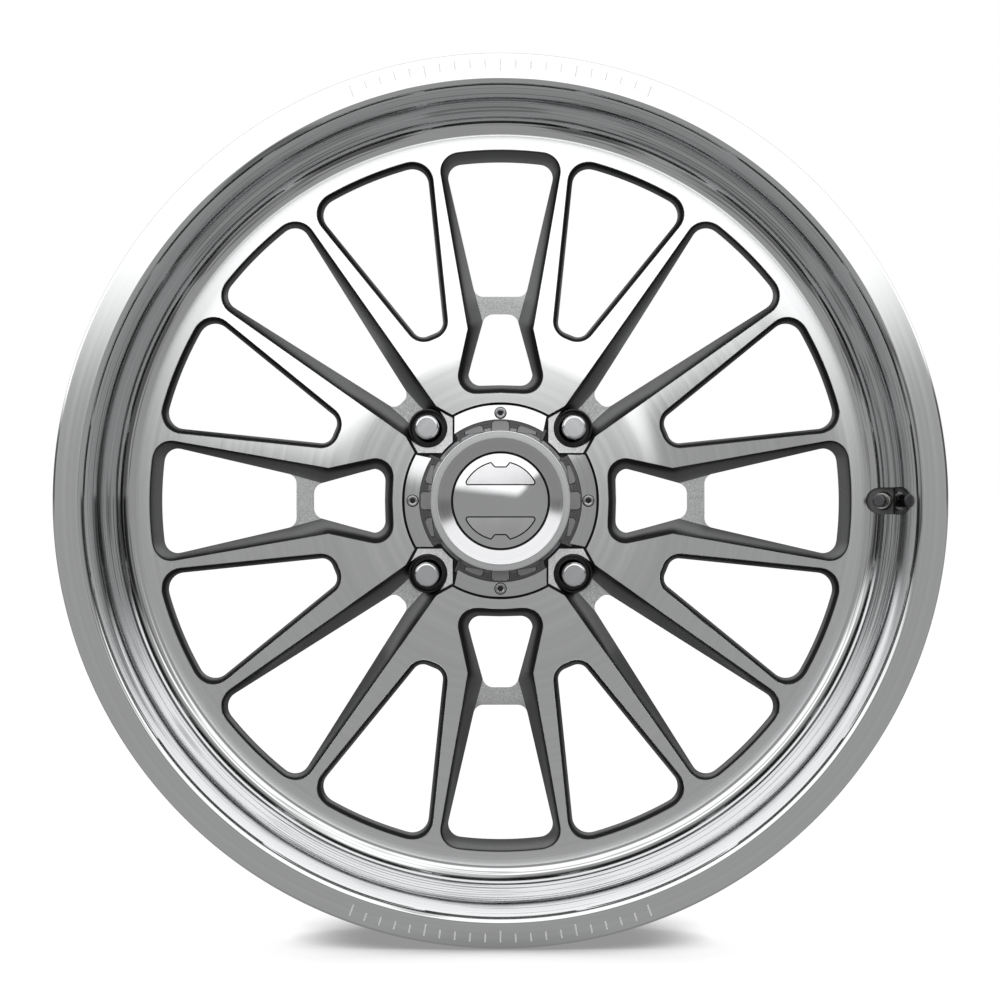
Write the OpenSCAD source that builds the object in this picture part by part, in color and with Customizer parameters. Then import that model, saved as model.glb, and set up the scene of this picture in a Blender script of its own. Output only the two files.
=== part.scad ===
// Forged racing wheel rim: a turned barrel, a spoked centre pressed and welded into it,
// a screwed-on hub cap, lug nuts on pressed-in seats, and a low clamp-in tyre valve.
// The axle lies along Y and the front faces -Y. The hub face lies in the plane y = 0.

/* [Barrel] */
// Diameter over the two flanges
rim_od = 645; // [643:0.5:647]
// Width from the front lip to the rear edge
rim_width = 203; // [201:0.5:205]
// How far the hub face lies in front of the rim's middle plane
hub_offset = 10; // [9:0.5:11]
// Diameter of the bead seats at the flanges
seat_d = 609.6; // [609.2:0.1:610]
// Inner diameter of the polished wall behind the lip
wall_d = 600; // [599:0.5:600.5]
// Outer diameter of the drop centre, where the tyre drops in for fitting
well_d = 573; // [572:0.5:574]
// Radius of the cove at the foot of the polished wall
cove_r = 12; // [11.5:0.1:12.5]

/* [Spoked centre] */
// Outer diameter of the centre, where it sits in the barrel
centre_d = 564; // [563:0.5:565]
// Height of the centre's outer ring above the hub face
ring_z = 5.5; // [5:0.1:6]
// Thickness of the hub
hub_t = 33.5; // [33:0.1:34]
// Depth of the blasted plates around the lug holes, below the hub's front
lug_plate_depth = 4; // [3.5:0.1:4.5]
// Depth of the blasted floor between each lug hole and its diagonal window
channel_depth = 9.5; // [9:0.1:10]
// Height of the bridges in the four wide windows above the hub face
bridge_z = 22; // [21:0.5:23]
// Diameter of the bore that centres the wheel on the hub
pilot_d = 132; // [131:0.1:132.4]
// Depth of that bore
pilot_depth = 7; // [5:0.5:8]

/* [Lug holes] */
// Diameter of the circle through the stud holes
stud_pcd = 156; // [155.5:0.1:156.5]
// Diameter of the stud holes
stud_hole_d = 13.5; // [13:0.1:14]
// Diameter of the pressed-in lug seats
seat_insert_d = 29; // [28.6:0.1:29.4]
// Diameter of the lug nuts
nut_d = 18.2; // [18:0.1:18.6]
// How far the lug nuts reach in front of the hub face
nut_top_z = 45.5; // [44:0.5:47]

/* [Hub cap] */
// Diameter of the cap's turned housing
cap_d = 103; // [102:0.5:104]
// How far the cap reaches in front of the hub face
cap_top_z = 69.5; // [68:0.5:71]
// Radius of the circle through the cap screws
cap_screw_r = 66.4; // [66:0.1:67]

/* [Valve] */
// Distance of the valve's seat from the axle
valve_r = 295; // [294.5:0.1:295.3]
// Lean of the valve towards the axle
valve_tilt = 25; // [24:0.5:26]
// Diameter of the valve hole
valve_hole_d = 11.5; // [11.4:0.1:11.6]

/* [Hidden] */
$fn = 128;
past = 1;                                   // how far a cut runs past the face it opens
corner_steps = 5;                           // straight steps in a window's rounded corner

front_z = rim_width / 2 - hub_offset;       // the front lip's plane
rear_z = front_z - rim_width;               // the rear edge
flange_r = rim_od / 2;
seat_r = seat_d / 2;
wall_r = wall_d / 2;
well_r = well_d / 2;
lip_round = 4.2;                            // rounded inner edge of the lip
edge_break = 2;
barrel_t = 5;                               // barrel thickness under the seats
centre_r = centre_d / 2;
centre_back_z = -8;                         // rear face of the centre's outer ring
ledge_z = ring_z + cove_r;                  // ledge between the cove and the wall
shoulder = 2;                               // step that stops the centre in the barrel
well_t = 6.5;

ring_in_r = 271.5;                          // where the spoke faces meet the outer ring
hub_flat_r = 109;                           // the hub's front is flat out to here
face_bend_r = 150;                          // radius of the bend from hub to spokes
pad_r = 104;                                // the hub face's outer edge
window_r = 267;                             // outer ends of the narrow windows
wide_window_r = 262;                        // outer ends of the four wide windows
lug_plate_z = hub_t - lug_plate_depth;
channel_z = hub_t - channel_depth;
lug_r = stud_pcd / 2;
stud_hole_r = stud_hole_d / 2;
insert_r = seat_insert_d / 2;
insert_z = 9;                               // floor of the pocket that holds a lug seat
cone_r = 9.9;                               // wide end of the 60 degree seat
cone_top_z = insert_z + (cone_r - stud_hole_r) / tan(30);

cap_floor_z = 24;                           // floor of the cap's recess in the hub
cap_bore_r = 50;
cap_r = cap_d / 2;
ear_r = 72.8;                               // outer edge of the cap base's four ears
ear_half = 35;                              // half the width of an ear
ear_in_r = 62.6;                            // inner edge of an ear's raised face
base_r = 56.1;                              // the cap base between its ears
base_gap = 1.3;                             // dark gap around the cap base
housing_gap = 0.3;
base_plate_t = 3;
base_top_z = cap_floor_z + base_plate_t;    // floor of the cap base, where the housing sits
spigot_r = 45.9;                            // the housing's spigot through the base
emblem_r = 35.4;
emblem_seat_z = cap_top_z - 10.5;
snap_groove_z = 22.2;
snap_t = 1.5;
screw_r = 2.5;
screw_head_r = 4.25;
screw_head_h = 5;
screw_recess_r = 5;
screw_recess_z = hub_t - 6;
screw_end_z = 14.5;

valve_seat_z = 8;                           // height of the seat's middle above the hub face
valve_web = 6;                              // wall that the valve clamps, along its axis
pocket_r = 10.3;
pocket_mid = 292.5;                         // distance of the pocket's middle from the axle
pocket_out_r = 302;                         // how far the pocket undercuts the wall
pocket_top_z = 26.3;
valve_hole_r = valve_hole_d / 2;
shank_r = 5;
neck_r = 3.85;
stem_bore_r = 2.65;
stem_top = 14;
pin_r = 0.6;

module on_axle() {
    rotate([90, 0, 0])
        children();
}

module on_valve() {
    on_axle()
        translate([valve_r, 0, valve_seat_z])
            rotate([0, -valve_tilt, 0])
                children();
}

module around(count, start = 0) {
    for (i = [0:count - 1])
        rotate([0, 0, start + i * 360 / count])
            children();
}

module tube(outer, inner, low, high) {
    translate([0, 0, low])
        difference() {
            cylinder(r = outer, h = high - low);
            translate([0, 0, -past])
                cylinder(r = inner, h = high - low + 2 * past);
        }
}

function unit(v) = v / norm(v);

// Points on an arc about mid, from angle a to angle b
function arc(mid, r, a, b, steps) =
    [for (i = [0:steps]) mid + r * [cos(a + (b - a) * i / steps), sin(a + (b - a) * i / steps)]];

// The corner at p between its neighbours a and b, rounded to radius r
function rounded_corner(a, p, b, r) =
    r == 0 ? [p] :
    let (to_a = unit(a - p))
    let (to_b = unit(b - p))
    let (half = acos(to_a * to_b) / 2)
    let (mid = p + unit(to_a + to_b) * r / sin(half))
    let (from = p + to_a * r / tan(half) - mid)
    let (to = p + to_b * r / tan(half) - mid)
    let (start = atan2(from.y, from.x))
    let (turn = atan2(cross(from, to), from * to))
    arc(mid, r, start, start + turn, corner_steps);

// A closed outline with each corner rounded to its own radius
function rounded(points, radii) =
    let (n = len(points))
    [for (i = [0:n - 1])
        each rounded_corner(points[(i + n - 1) % n], points[i], points[(i + 1) % n], radii[i])];

// A window that widens outwards, symmetric about +X: it starts at low with half-width
// half_low, widens by slope, and ends on the circle of radius end_r
function window_outline(low, half_low, slope, end_r, low_round, end_round) =
    let (b = half_low - slope * low)
    let (x = (sqrt(end_r * end_r * (1 + slope * slope) - b * b) - slope * b)
        / (1 + slope * slope))
    let (a = atan2(slope * x + b, x))
    rounded(
        [
            [low, -half_low],
            end_r * [cos(a), -sin(a)],
            end_r * [cos(a / 3), -sin(a / 3)],
            end_r * [cos(a / 3), sin(a / 3)],
            end_r * [cos(a), sin(a)],
            [low, half_low]
        ],
        [low_round, end_round, 0, 0, end_round, low_round]);

// The spoke faces slope straight from the outer ring to where they meet the bend at the hub
bend_to_ring = [ring_in_r - hub_flat_r, ring_z - hub_t + face_bend_r];
face_angle = 90 - atan2(bend_to_ring.y, bend_to_ring.x) - acos(face_bend_r / norm(bend_to_ring));
function face_arc() =
    arc([hub_flat_r, hub_t - face_bend_r], face_bend_r, 90, 90 - face_angle, 6);

module rim_barrel() {
    seat_in = 19;                           // flange to bead seat
    seat_out = 42;                          // flange to the seat's inner end
    hump = 47;
    seat_taper = 1.9;
    foot_z = valve_seat_z - (valve_r - well_r) * tan(valve_tilt) - valve_web / cos(valve_tilt);
    side_r = seat_r + 0.2;
    profile = concat(
        arc([wall_r + lip_round, front_z - lip_round], lip_round, 90, 180, 6),
        [
            [wall_r, ledge_z],
            [centre_r + cove_r + 2.3, ledge_z],
            [centre_r + cove_r + 2, ledge_z - 0.8],
            [centre_r + cove_r + 1.2, ledge_z - 0.8],
            [centre_r + cove_r + 0.9, ledge_z]
        ],
        arc([centre_r, ledge_z], cove_r, 0, -90, 8),
        [
            [centre_r, centre_back_z],
            [centre_r - shoulder, centre_back_z],
            [well_r - well_t, -44],
            [well_r - well_t + 2, -48],
            [seat_r - barrel_t - 3, -58],
            [seat_r - barrel_t - 1, -61],
            [seat_r - barrel_t - 1, rear_z + edge_break],
            [seat_r - barrel_t + 1, rear_z],
            [flange_r - edge_break, rear_z],
            [flange_r, rear_z + edge_break],
            [flange_r, rear_z + 7],
            [flange_r - 1.5, rear_z + 9.5],
            [flange_r - 4, rear_z + 10.5]
        ],
        arc([seat_r + 9, rear_z + seat_in + 0.5], 9, -90, -180, 5),
        [
            [seat_r - seat_taper, rear_z + seat_out],
            [seat_r + 0.8, rear_z + hump],
            [seat_r - seat_taper, rear_z + hump + 4],
            [well_r + 2, -49],
            [well_r, -45],
            [well_r, foot_z],
            [side_r, foot_z + (side_r - well_r) * tan(valve_tilt)],
            [side_r, front_z - hump - 5],
            [seat_r + 0.8, front_z - hump],
            [seat_r - seat_taper, front_z - seat_out]
        ],
        arc([seat_r + 9, front_z - seat_in - 0.5], 9, 180, 90, 5),
        [
            [flange_r - 4, front_z - 10.5],
            [flange_r - 1.5, front_z - 9.5],
            [flange_r, front_z - 7],
            [flange_r, front_z - edge_break],
            [flange_r - edge_break, front_z]
        ]);
    color("gainsboro")
        difference() {
            on_axle()
                rotate_extrude()
                    polygon(profile);
            intersection() {
                on_axle()
                    union() {
                        translate([pocket_mid, 0, 0])
                            cylinder(r = pocket_r, h = pocket_top_z);
                        translate([pocket_mid, -pocket_r, 0])
                            cube([pocket_out_r - pocket_mid, 2 * pocket_r, pocket_top_z]);
                    }
                on_valve()
                    cylinder(r = 40, h = 40);
            }
            on_valve()
                translate([0, 0, -valve_web - past])
                    cylinder(r = valve_hole_r, h = valve_web + 2 * past);
        }
}

module narrow_windows() {
    around(8, 22.5)
        polygon(window_outline(137, 9.9, 0.2938, window_r, 8.5, 13));
    around(4, 45)
        polygon(window_outline(105.8, 7.3, 0.2246, window_r, 7, 12));
}

module wide_windows() {
    around(4) {
        polygon(window_outline(155.5, 19.1, 0.2292, wide_window_r, 7.6, 10.6));
        polygon(rounded(
            [[87.4, -27.4], [88.1, 0], [87.4, 27.4], [142.3, 11.7], [142.3, -11.7]],
            [9, 0, 9, 8.5, 8.5]));
    }
}

module lug_plates() {
    around(4, 45)
        polygon([
            [48, -25], [71.5, -20.4], [84.9, -16.4],
            [84.9, 16.4], [71.5, 20.4], [48, 25]
        ]);
}

module diagonal_channels() {
    around(4, 45)
        polygon([
            [75.5, -14.3], [84.9, -16.4], [170, -31.2],
            [170, 31.2], [84.9, 16.4], [75.5, 14.3]
        ]);
}

module bridge_pockets() {
    around(4)
        polygon(rounded(
            [
                [79.6, -33.4], [81.4, 0], [79.6, 33.4], [93.7, 31.6], [130.1, 25],
                [190, 35.5], [190, -35.5], [130.1, -25], [93.7, -31.6]
            ],
            [0, 0, 0, 0, 6, 0, 0, 6, 0]));
}

module cap_recess(gap) {
    intersection() {
        circle(r = ear_r + gap);
        union() {
            around(2)
                square([2 * ear_r + 2, 2 * (ear_half + gap)], center = true);
            rotate([0, 0, 90])
                square([2 * ear_r + 2, 2 * (ear_half + gap)], center = true);
        }
    }
    circle(r = base_r + gap);
}

module cut_between(low, high) {
    translate([0, 0, low])
        linear_extrude(height = high - low)
            children();
}

module spoked_centre() {
    profile = concat(
        [
            [cap_bore_r, pilot_depth],
            [pilot_d / 2, pilot_depth],
            [pilot_d / 2, 0],
            [pad_r, 0],
            [pad_r + 5, 4],
            [250, -5.5],
            [258, centre_back_z],
            [centre_r, centre_back_z],
            [centre_r, ring_z],
            [ring_in_r, ring_z]
        ],
        [for (i = [6:-1:0]) face_arc()[i]],
        [[cap_bore_r, hub_t]]);
    color("silver")
        on_axle()
            difference() {
                rotate_extrude()
                    polygon(profile);
                cut_between(centre_back_z - past, hub_t + past)
                    narrow_windows();
                cut_between(centre_back_z - past, hub_t + past)
                    wide_windows();
                cut_between(lug_plate_z, hub_t + past)
                    lug_plates();
                cut_between(channel_z, hub_t + past)
                    diagonal_channels();
                cut_between(bridge_z, hub_t + past)
                    bridge_pockets();
                cut_between(cap_floor_z, hub_t + past)
                    cap_recess(base_gap);
                around(4, 45)
                    translate([lug_r, 0, 0]) {
                        translate([0, 0, -past])
                            cylinder(r = stud_hole_r, h = hub_t);
                        translate([0, 0, insert_z])
                            cylinder(r = insert_r, h = hub_t);
                    }
                around(4)
                    translate([cap_screw_r, 0, screw_end_z - 1])
                        cylinder(r = screw_r, h = cap_floor_z);
            }
}

module weld_bead() {
    leg = 5;
    color("darkgray")
        on_axle()
            rotate_extrude()
                polygon(concat(
                    [[centre_r - shoulder, centre_back_z]],
                    arc([centre_r - shoulder, centre_back_z], leg, 180, 270, 4)));
}

module lug_seats() {
    color("dimgray")
        on_axle()
            around(4, 45)
                translate([lug_r, 0, 0])
                    rotate_extrude()
                        polygon([
                            [stud_hole_r, insert_z],
                            [insert_r, insert_z],
                            [insert_r, lug_plate_z - 0.5],
                            [insert_r - 1.6, lug_plate_z - 0.5],
                            [insert_r - 1.6, cone_top_z],
                            [cone_r, cone_top_z]
                        ]);
}

module lug_nut(number) {
    r = nut_d / 2;
    tip_z = insert_z + 1.2;
    tip_r = stud_hole_r + 0.3;
    thread_r = 5.4;
    thread_end = 38;
    splines = 8;
    color("lightsteelblue")
        on_axle()
            rotate([0, 0, 90 * number - 45])
                translate([lug_r, 0, 0])
                    difference() {
                        rotate_extrude()
                            polygon([
                                [thread_r, tip_z],
                                [tip_r, tip_z],
                                [r, tip_z + (r - tip_r) / tan(30)],
                                [r, nut_top_z - 2.2],
                                [r - 0.5, nut_top_z - 1],
                                [r - 2, nut_top_z],
                                [0, nut_top_z],
                                [0, thread_end + 3],
                                [thread_r, thread_end]
                            ]);
                        around(splines)
                            translate([r + 0.5, 0, tip_z + 10])
                                cylinder(r = 1.1, h = nut_top_z, $fn = 32);
                    }
}

module cap_base() {
    tab_half = 6.9;
    tab_z = hub_t - 2.5;
    color("whitesmoke")
        on_axle()
            difference() {
                cut_between(cap_floor_z, hub_t)
                    cap_recess(0);
                cut_between(base_top_z, hub_t + past)
                    difference() {
                        circle(r = ear_in_r);
                        for (turn = [0, 90])
                            rotate([0, 0, turn])
                                square([2 * ear_in_r + 2, 2 * tab_half], center = true);
                    }
                translate([0, 0, tab_z])
                    cylinder(r = ear_in_r, h = hub_t);
                translate([0, 0, base_top_z])
                    cylinder(r = cap_r + housing_gap, h = hub_t);
                translate([0, 0, cap_floor_z - past])
                    cylinder(r = spigot_r + 0.05, h = hub_t);
                tube(cap_r - 2, cap_r - 3.6, base_top_z - 1.4, hub_t);
                around(4)
                    translate([cap_screw_r, 0, 0]) {
                        translate([0, 0, cap_floor_z - past])
                            cylinder(r = screw_r + 0.2, h = hub_t);
                        translate([0, 0, screw_recess_z])
                            cylinder(r = screw_recess_r, h = hub_t);
                    }
            }
}

module cap_housing() {
    rim_in_r = 45.7;
    bevel_in_r = emblem_r + 1.1;
    bevel_drop = 4.7;
    inside_r = 46;
    spigot_in_r = 40;
    spigot_end_z = 17;
    groove_r = spigot_r - 1.5;
    color("lightgray")
        on_axle()
            rotate_extrude()
                polygon([
                    [spigot_in_r, spigot_end_z],
                    [spigot_r, spigot_end_z],
                    [spigot_r, snap_groove_z],
                    [groove_r, snap_groove_z],
                    [groove_r, snap_groove_z + snap_t + 0.1],
                    [spigot_r, snap_groove_z + snap_t + 0.1],
                    [spigot_r, base_top_z],
                    [cap_r, base_top_z],
                    [cap_r, cap_top_z - 1],
                    [cap_r - 1, cap_top_z],
                    [rim_in_r, cap_top_z],
                    [bevel_in_r, cap_top_z - bevel_drop],
                    [bevel_in_r, emblem_seat_z],
                    [emblem_r - 3, emblem_seat_z],
                    [emblem_r - 3, emblem_seat_z - 4],
                    [inside_r, emblem_seat_z - 8],
                    [inside_r, base_top_z + 6],
                    [spigot_in_r, base_top_z + 1]
                ]);
}

module cap_emblem() {
    edge_z = emblem_seat_z + 3.2;
    rise = 1.6;
    dome_r = (emblem_r * emblem_r + rise * rise) / (2 * rise);
    dome_angle = asin(emblem_r / dome_r);
    pocket_depth = 0.8;
    color("white")
        on_axle()
            difference() {
                rotate_extrude()
                    polygon(concat(
                        [[0, emblem_seat_z], [emblem_r, emblem_seat_z]],
                        arc([0, edge_z + rise - dome_r], dome_r, 90 - dome_angle, 90, 6)));
                cut_between(edge_z + rise - 1 - pocket_depth, cap_top_z)
                    intersection() {
                        circle(r = 29.2);
                        for (side = [-1, 1])
                            translate([0, side * 31.1])
                                square([51, 40], center = true);
                    }
            }
}

module cap_o_ring() {
    section_r = 0.7;
    color("black")
        on_axle()
            translate([0, 0, base_top_z - section_r])
                rotate_extrude()
                    translate([cap_r - 2.8, 0])
                        circle(r = section_r, $fn = 24);
}

module cap_snap_ring() {
    opening = 24;
    color("slategray")
        on_axle()
            rotate([0, 0, opening / 2 - 90])
                rotate_extrude(angle = 360 - opening)
                    translate([spigot_r - 1.3, snap_groove_z + 0.05])
                        square([4, snap_t]);
}

module cap_screws() {
    socket_flats = 4;
    color("dimgray")
        on_axle()
            around(4)
                translate([cap_screw_r, 0, 0])
                    difference() {
                        union() {
                            translate([0, 0, screw_end_z])
                                cylinder(r = screw_r - 0.05, h = screw_recess_z - screw_end_z + 1);
                            translate([0, 0, screw_recess_z])
                                cylinder(r = screw_head_r, h = screw_head_h);
                        }
                        translate([0, 0, screw_recess_z + screw_head_h - 2.5])
                            cylinder(d = socket_flats / cos(30), h = screw_head_h, $fn = 6);
                    }
}

module valve_stem() {
    color("silver")
        on_valve()
            rotate_extrude()
                polygon([
                    [stem_bore_r, -12.5],
                    [shank_r - 0.6, -12.5],
                    [shank_r, -11.9],
                    [shank_r, 1.5],
                    [7, 1.5],
                    [7, 3],
                    [6, 4],
                    [neck_r, 4],
                    [neck_r, stem_top - 0.4],
                    [neck_r - 0.4, stem_top],
                    [stem_bore_r, stem_top]
                ]);
}

module valve_grommet() {
    color("black")
        on_valve()
            union() {
                tube(7.2, shank_r, 0, 1.5);
                tube(valve_hole_r, shank_r, 0.5 - valve_web, 0.5);
            }
}

module valve_washer() {
    color("silver")
        on_valve()
            tube(8.3, shank_r + 0.1, -valve_web - 1.2, -valve_web);
}

module valve_nut() {
    flats = 14;
    color("silver")
        on_valve()
            translate([0, 0, -valve_web - 5.2])
                difference() {
                    cylinder(d = flats / cos(30), h = 4, $fn = 6);
                    translate([0, 0, -past])
                        cylinder(r = shank_r + 0.02, h = 4 + 2 * past);
                }
}

module valve_core_body() {
    color("goldenrod")
        on_valve()
            rotate_extrude()
                polygon([
                    [0.9, 3],
                    [stem_bore_r - 0.05, 3],
                    [stem_bore_r - 0.05, 12.6],
                    [1.6, 12.6],
                    [1.6, 4.2],
                    [0.9, 4.2]
                ]);
}

module valve_core_pin() {
    color("gold")
        on_valve()
            rotate_extrude()
                polygon([
                    [0, -3],
                    [pin_r, -3],
                    [pin_r, 11.8],
                    [1.2, 11.8],
                    [1.2, 12.4],
                    [pin_r, 12.4],
                    [pin_r, 13.2],
                    [0, 13.5]
                ]);
}

module valve_core_seal() {
    color("black")
        on_valve()
            tube(1.9, pin_r, 0.8, 2.7);
}

// A wire of radius wire wound at radius r, as rings of points joined into one skin
module coil(r, wire, low, high, turns) {
    sides = 6;
    rings = 12 * turns;
    slope = atan((high - low) / (turns * 360 * r * PI / 180));
    points = [
        for (i = [0:rings])
            let (turn = 360 * turns * i / rings)
            for (j = [0:sides - 1])
                let (out = wire * cos(360 * j / sides))
                let (up = wire * sin(360 * j / sides))
                [
                    (r + out) * cos(turn) + up * sin(slope) * sin(turn),
                    (r + out) * sin(turn) - up * sin(slope) * cos(turn),
                    low + (high - low) * i / rings + up * cos(slope)
                ]
    ];
    skin = [
        for (i = [0:rings - 1])
            for (j = [0:sides - 1])
                let (k = (j + 1) % sides)
                each [
                    [i * sides + j, i * sides + k, (i + 1) * sides + k],
                    [i * sides + j, (i + 1) * sides + k, (i + 1) * sides + j]
                ]
    ];
    ends = [
        [for (j = [sides - 1:-1:0]) j],
        [for (j = [0:sides - 1]) rings * sides + j]
    ];
    polyhedron(points, concat(skin, ends));
}

module valve_core_spring() {
    color("silver")
        on_valve()
            coil(1.2, 0.2, 4.45, 10, 6);
}

module valve_cap() {
    top = stem_top + 2.6;
    color("darkgray")
        on_valve()
            difference() {
                rotate_extrude()
                    polygon([
                        [neck_r + 0.2, 4.6],
                        [4.9, 4.6],
                        [4.9, top - 1],
                        [3.9, top],
                        [0, top],
                        [0, top - 1.4],
                        [neck_r + 0.2, top - 1.4]
                    ]);
                around(12)
                    translate([5.15, 0, 6])
                        cylinder(r = 0.5, h = stem_top, $fn = 16);
            }
}

module valve_cap_seal() {
    color("black")
        on_valve()
            translate([0, 0, stem_top + 0.3])
                cylinder(r = neck_r, h = 0.9);
}

rim_barrel();
spoked_centre();
weld_bead();
lug_seats();
lug_nut(1);  // lug_nut_1
lug_nut(2);  // lug_nut_2
lug_nut(3);  // lug_nut_3
lug_nut(4);  // lug_nut_4
cap_base();
cap_housing();
cap_emblem();
cap_o_ring();
cap_snap_ring();
cap_screws();
valve_stem();
valve_grommet();
valve_washer();
valve_nut();
valve_core_body();
valve_core_pin();
valve_core_seal();
valve_core_spring();
valve_cap();
valve_cap_seal();
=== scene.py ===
"""A forged racing wheel rim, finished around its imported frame.

The axle lies along Y and the front faces -Y. Shapes are worked out in millimetres in the
turner's frame: x to the right, y up and z towards the front, measured from the hub face.
"""

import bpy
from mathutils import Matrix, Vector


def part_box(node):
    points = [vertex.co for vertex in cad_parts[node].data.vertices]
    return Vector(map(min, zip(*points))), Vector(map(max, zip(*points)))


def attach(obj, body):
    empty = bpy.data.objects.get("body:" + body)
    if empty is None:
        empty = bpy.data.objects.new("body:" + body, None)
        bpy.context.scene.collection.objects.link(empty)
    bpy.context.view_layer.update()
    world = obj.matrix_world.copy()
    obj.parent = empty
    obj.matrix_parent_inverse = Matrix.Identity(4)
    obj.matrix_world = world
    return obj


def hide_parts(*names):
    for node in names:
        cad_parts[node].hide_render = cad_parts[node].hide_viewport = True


bl_info = {
    "name": "Forged wheel rim",
    "version": (1, 0, 0),
    "blender": (4, 5, 0),
    "location": "3D View > Sidebar > Wheel rim",
    "description": "Builds the finished pieces of a forged racing wheel rim on its frame",
    "category": "Object",
}

from math import acos, asin, atan, atan2, ceil, cos, hypot, pi, radians, sin, sqrt, tan

import bmesh
import bpy
import numpy as np
from bpy.props import FloatProperty, FloatVectorProperty, IntProperty, PointerProperty
from mathutils import Matrix, Vector
from mathutils.geometry import delaunay_2d_cdt

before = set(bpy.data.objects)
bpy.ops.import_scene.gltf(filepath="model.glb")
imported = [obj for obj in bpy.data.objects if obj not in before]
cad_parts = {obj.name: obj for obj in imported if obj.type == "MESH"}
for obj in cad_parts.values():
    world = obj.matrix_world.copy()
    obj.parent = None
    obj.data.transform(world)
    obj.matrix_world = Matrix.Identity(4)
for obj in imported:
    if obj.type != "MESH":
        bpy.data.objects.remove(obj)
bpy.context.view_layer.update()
MM = 0.001


def reach(node):
    """A node's greatest radius and its rear and front ends along the axle, in millimetres."""
    low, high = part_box(node)
    return round(high.x / MM, 1), round(-high.y / MM, 1), round(-low.y / MM, 1)


FLANGE_R, REAR_Z, FRONT_Z = reach("rim_barrel")
CENTRE_R, CENTRE_BACK_Z, HUB_Z = reach("spoked_centre")
CAP_R, SPIGOT_END_Z, CAP_TOP_Z = reach("cap_housing")
BASE_FLOOR_Z = reach("cap_base")[1]
NUT_TOP_Z = reach("lug_nut_1")[2]

# The barrel
SEAT_R = 304.8
WALL_R = 300
WELL_R = 286.5
COVE_R = 12
LEDGE_Z = 17.5
LIP_ROUND = 4.2
VALVE_SEAT = Vector((295, 0, 8))
VALVE_TILT = radians(25)
VALVE_WEB = 6
POCKET_R = 10.3
POCKET_MID = 292.5
POCKET_OUT = 302
POCKET_TOP_Z = 26.3

# The spoked centre's front face: flat at the hub, a bend, then a straight slope to a flat ring
RING_Z = 5.5
RING_IN_R = 271.5
RING_BLEND = 34
HUB_FLAT_R = 109
BEND_R = 150
PLATE_Z = 29.5
CHANNEL_Z = 24
BRIDGE_Z = 22
PAD_R = 104
PILOT_R = 66
PILOT_Z = 7
CAP_BORE_R = 50
RECESS_R = 74.4
RECESS_HALF = 36.3
HOUSING_GAP_R = 57.4
LUG_R = 78
STUD_HOLE_R = 6.75
SEAT_INSERT_R = 14.5
INSERT_Z = 9
EIGHTH = pi / 4

# How fast each window's sides spread, and the floor between a lug hole and its window
NARROW_SLOPE = 0.2938
WIDE_SLOPE = 0.1754
WIDE_HOLE_SLOPE = 0.2292
DIAGONAL_HOLE_SLOPE = 0.2246
CHANNEL_SLOPE = 0.1734
KNEE = (84.9, 16.4)
KNEE_STEPS = 4
FLOOR_HALF = 7.5


# ---------------------------------------------------------------- lines and arcs


def joined(*parts):
    """Point lists joined end to end, with each shared end kept once."""
    points = list(parts[0])
    for part in parts[1:]:
        points += part[1:] if hypot(*np.subtract(points[-1], part[0])) < 1e-6 else part
    return points


def line(start, end, steps):
    return [
        tuple(a + (b - a) * i / steps for a, b in zip(start, end)) for i in range(steps + 1)
    ]


def arc(mid, r, start, end, steps):
    turns = [start + (end - start) * i / steps for i in range(steps + 1)]
    return [(mid[0] + r * cos(turn), mid[1] + r * sin(turn)) for turn in turns]


def corner(before, point, after, r, steps):
    """The arc of radius r that rounds point, on the way from before to after."""
    point = Vector(point)
    back = (Vector(before) - point).normalized()
    on = (Vector(after) - point).normalized()
    half = back.angle(on) / 2
    mid = point + (back + on).normalized() * r / sin(half)
    start = point + back * r / tan(half) - mid
    end = point + on * r / tan(half) - mid
    first = atan2(start.y, start.x)
    turn = atan2(start.x * end.y - start.y * end.x, start.dot(end))
    return arc(mid, r, first, first + turn, steps)


def end_corner(base, slope, end_r, r, steps):
    """The arc that rounds the side y = base + slope * x into the circle of radius end_r."""
    lean = sqrt(1 + slope * slope)
    b = base - r * lean
    reach_r = end_r - r
    x = (sqrt(reach_r**2 * lean**2 - b * b) - slope * b) / lean**2
    mid = (x, b + slope * x)
    return arc(mid, r, atan2(1, -slope), atan2(mid[1], mid[0]), steps)


def half_window(low, half_low, slope, end_r, low_round, end_round, steps=3):
    """Half a window along +x, from the middle line round to it again: its inner end with the
    rounded corner, its straight side, and its outer end. Each shares a point with the next."""
    ahead = (low + 50, half_low + 50 * slope)
    inner = corner((low, 0), (low, half_low), ahead, low_round, 9)
    side, end = outer_side(inner[-1], half_low - slope * low, slope, end_r, end_round)
    return joined(line((low, 0), inner[0], steps), inner), side, end


def outer_side(start, base, slope, end_r, end_round):
    """The straight side from start, and the rounded corner and arc that end it."""
    rounding = end_corner(base, slope, end_r, end_round, 9)
    turn = atan2(rounding[-1][1], rounding[-1][0])
    return line(start, rounding[0], 26), joined(rounding, arc((0, 0), end_r, turn, 0, 9))


def mirrored(points):
    """The outline's other half, so that the two join into one closed outline."""
    return [(x, -y) for x, y in reversed(points)]


def turned(points, angle):
    c, s = cos(angle), sin(angle)
    return [(x * c - y * s, x * s + y * c) for x, y in points]


# ---------------------------------------------------------------- meshes


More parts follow.
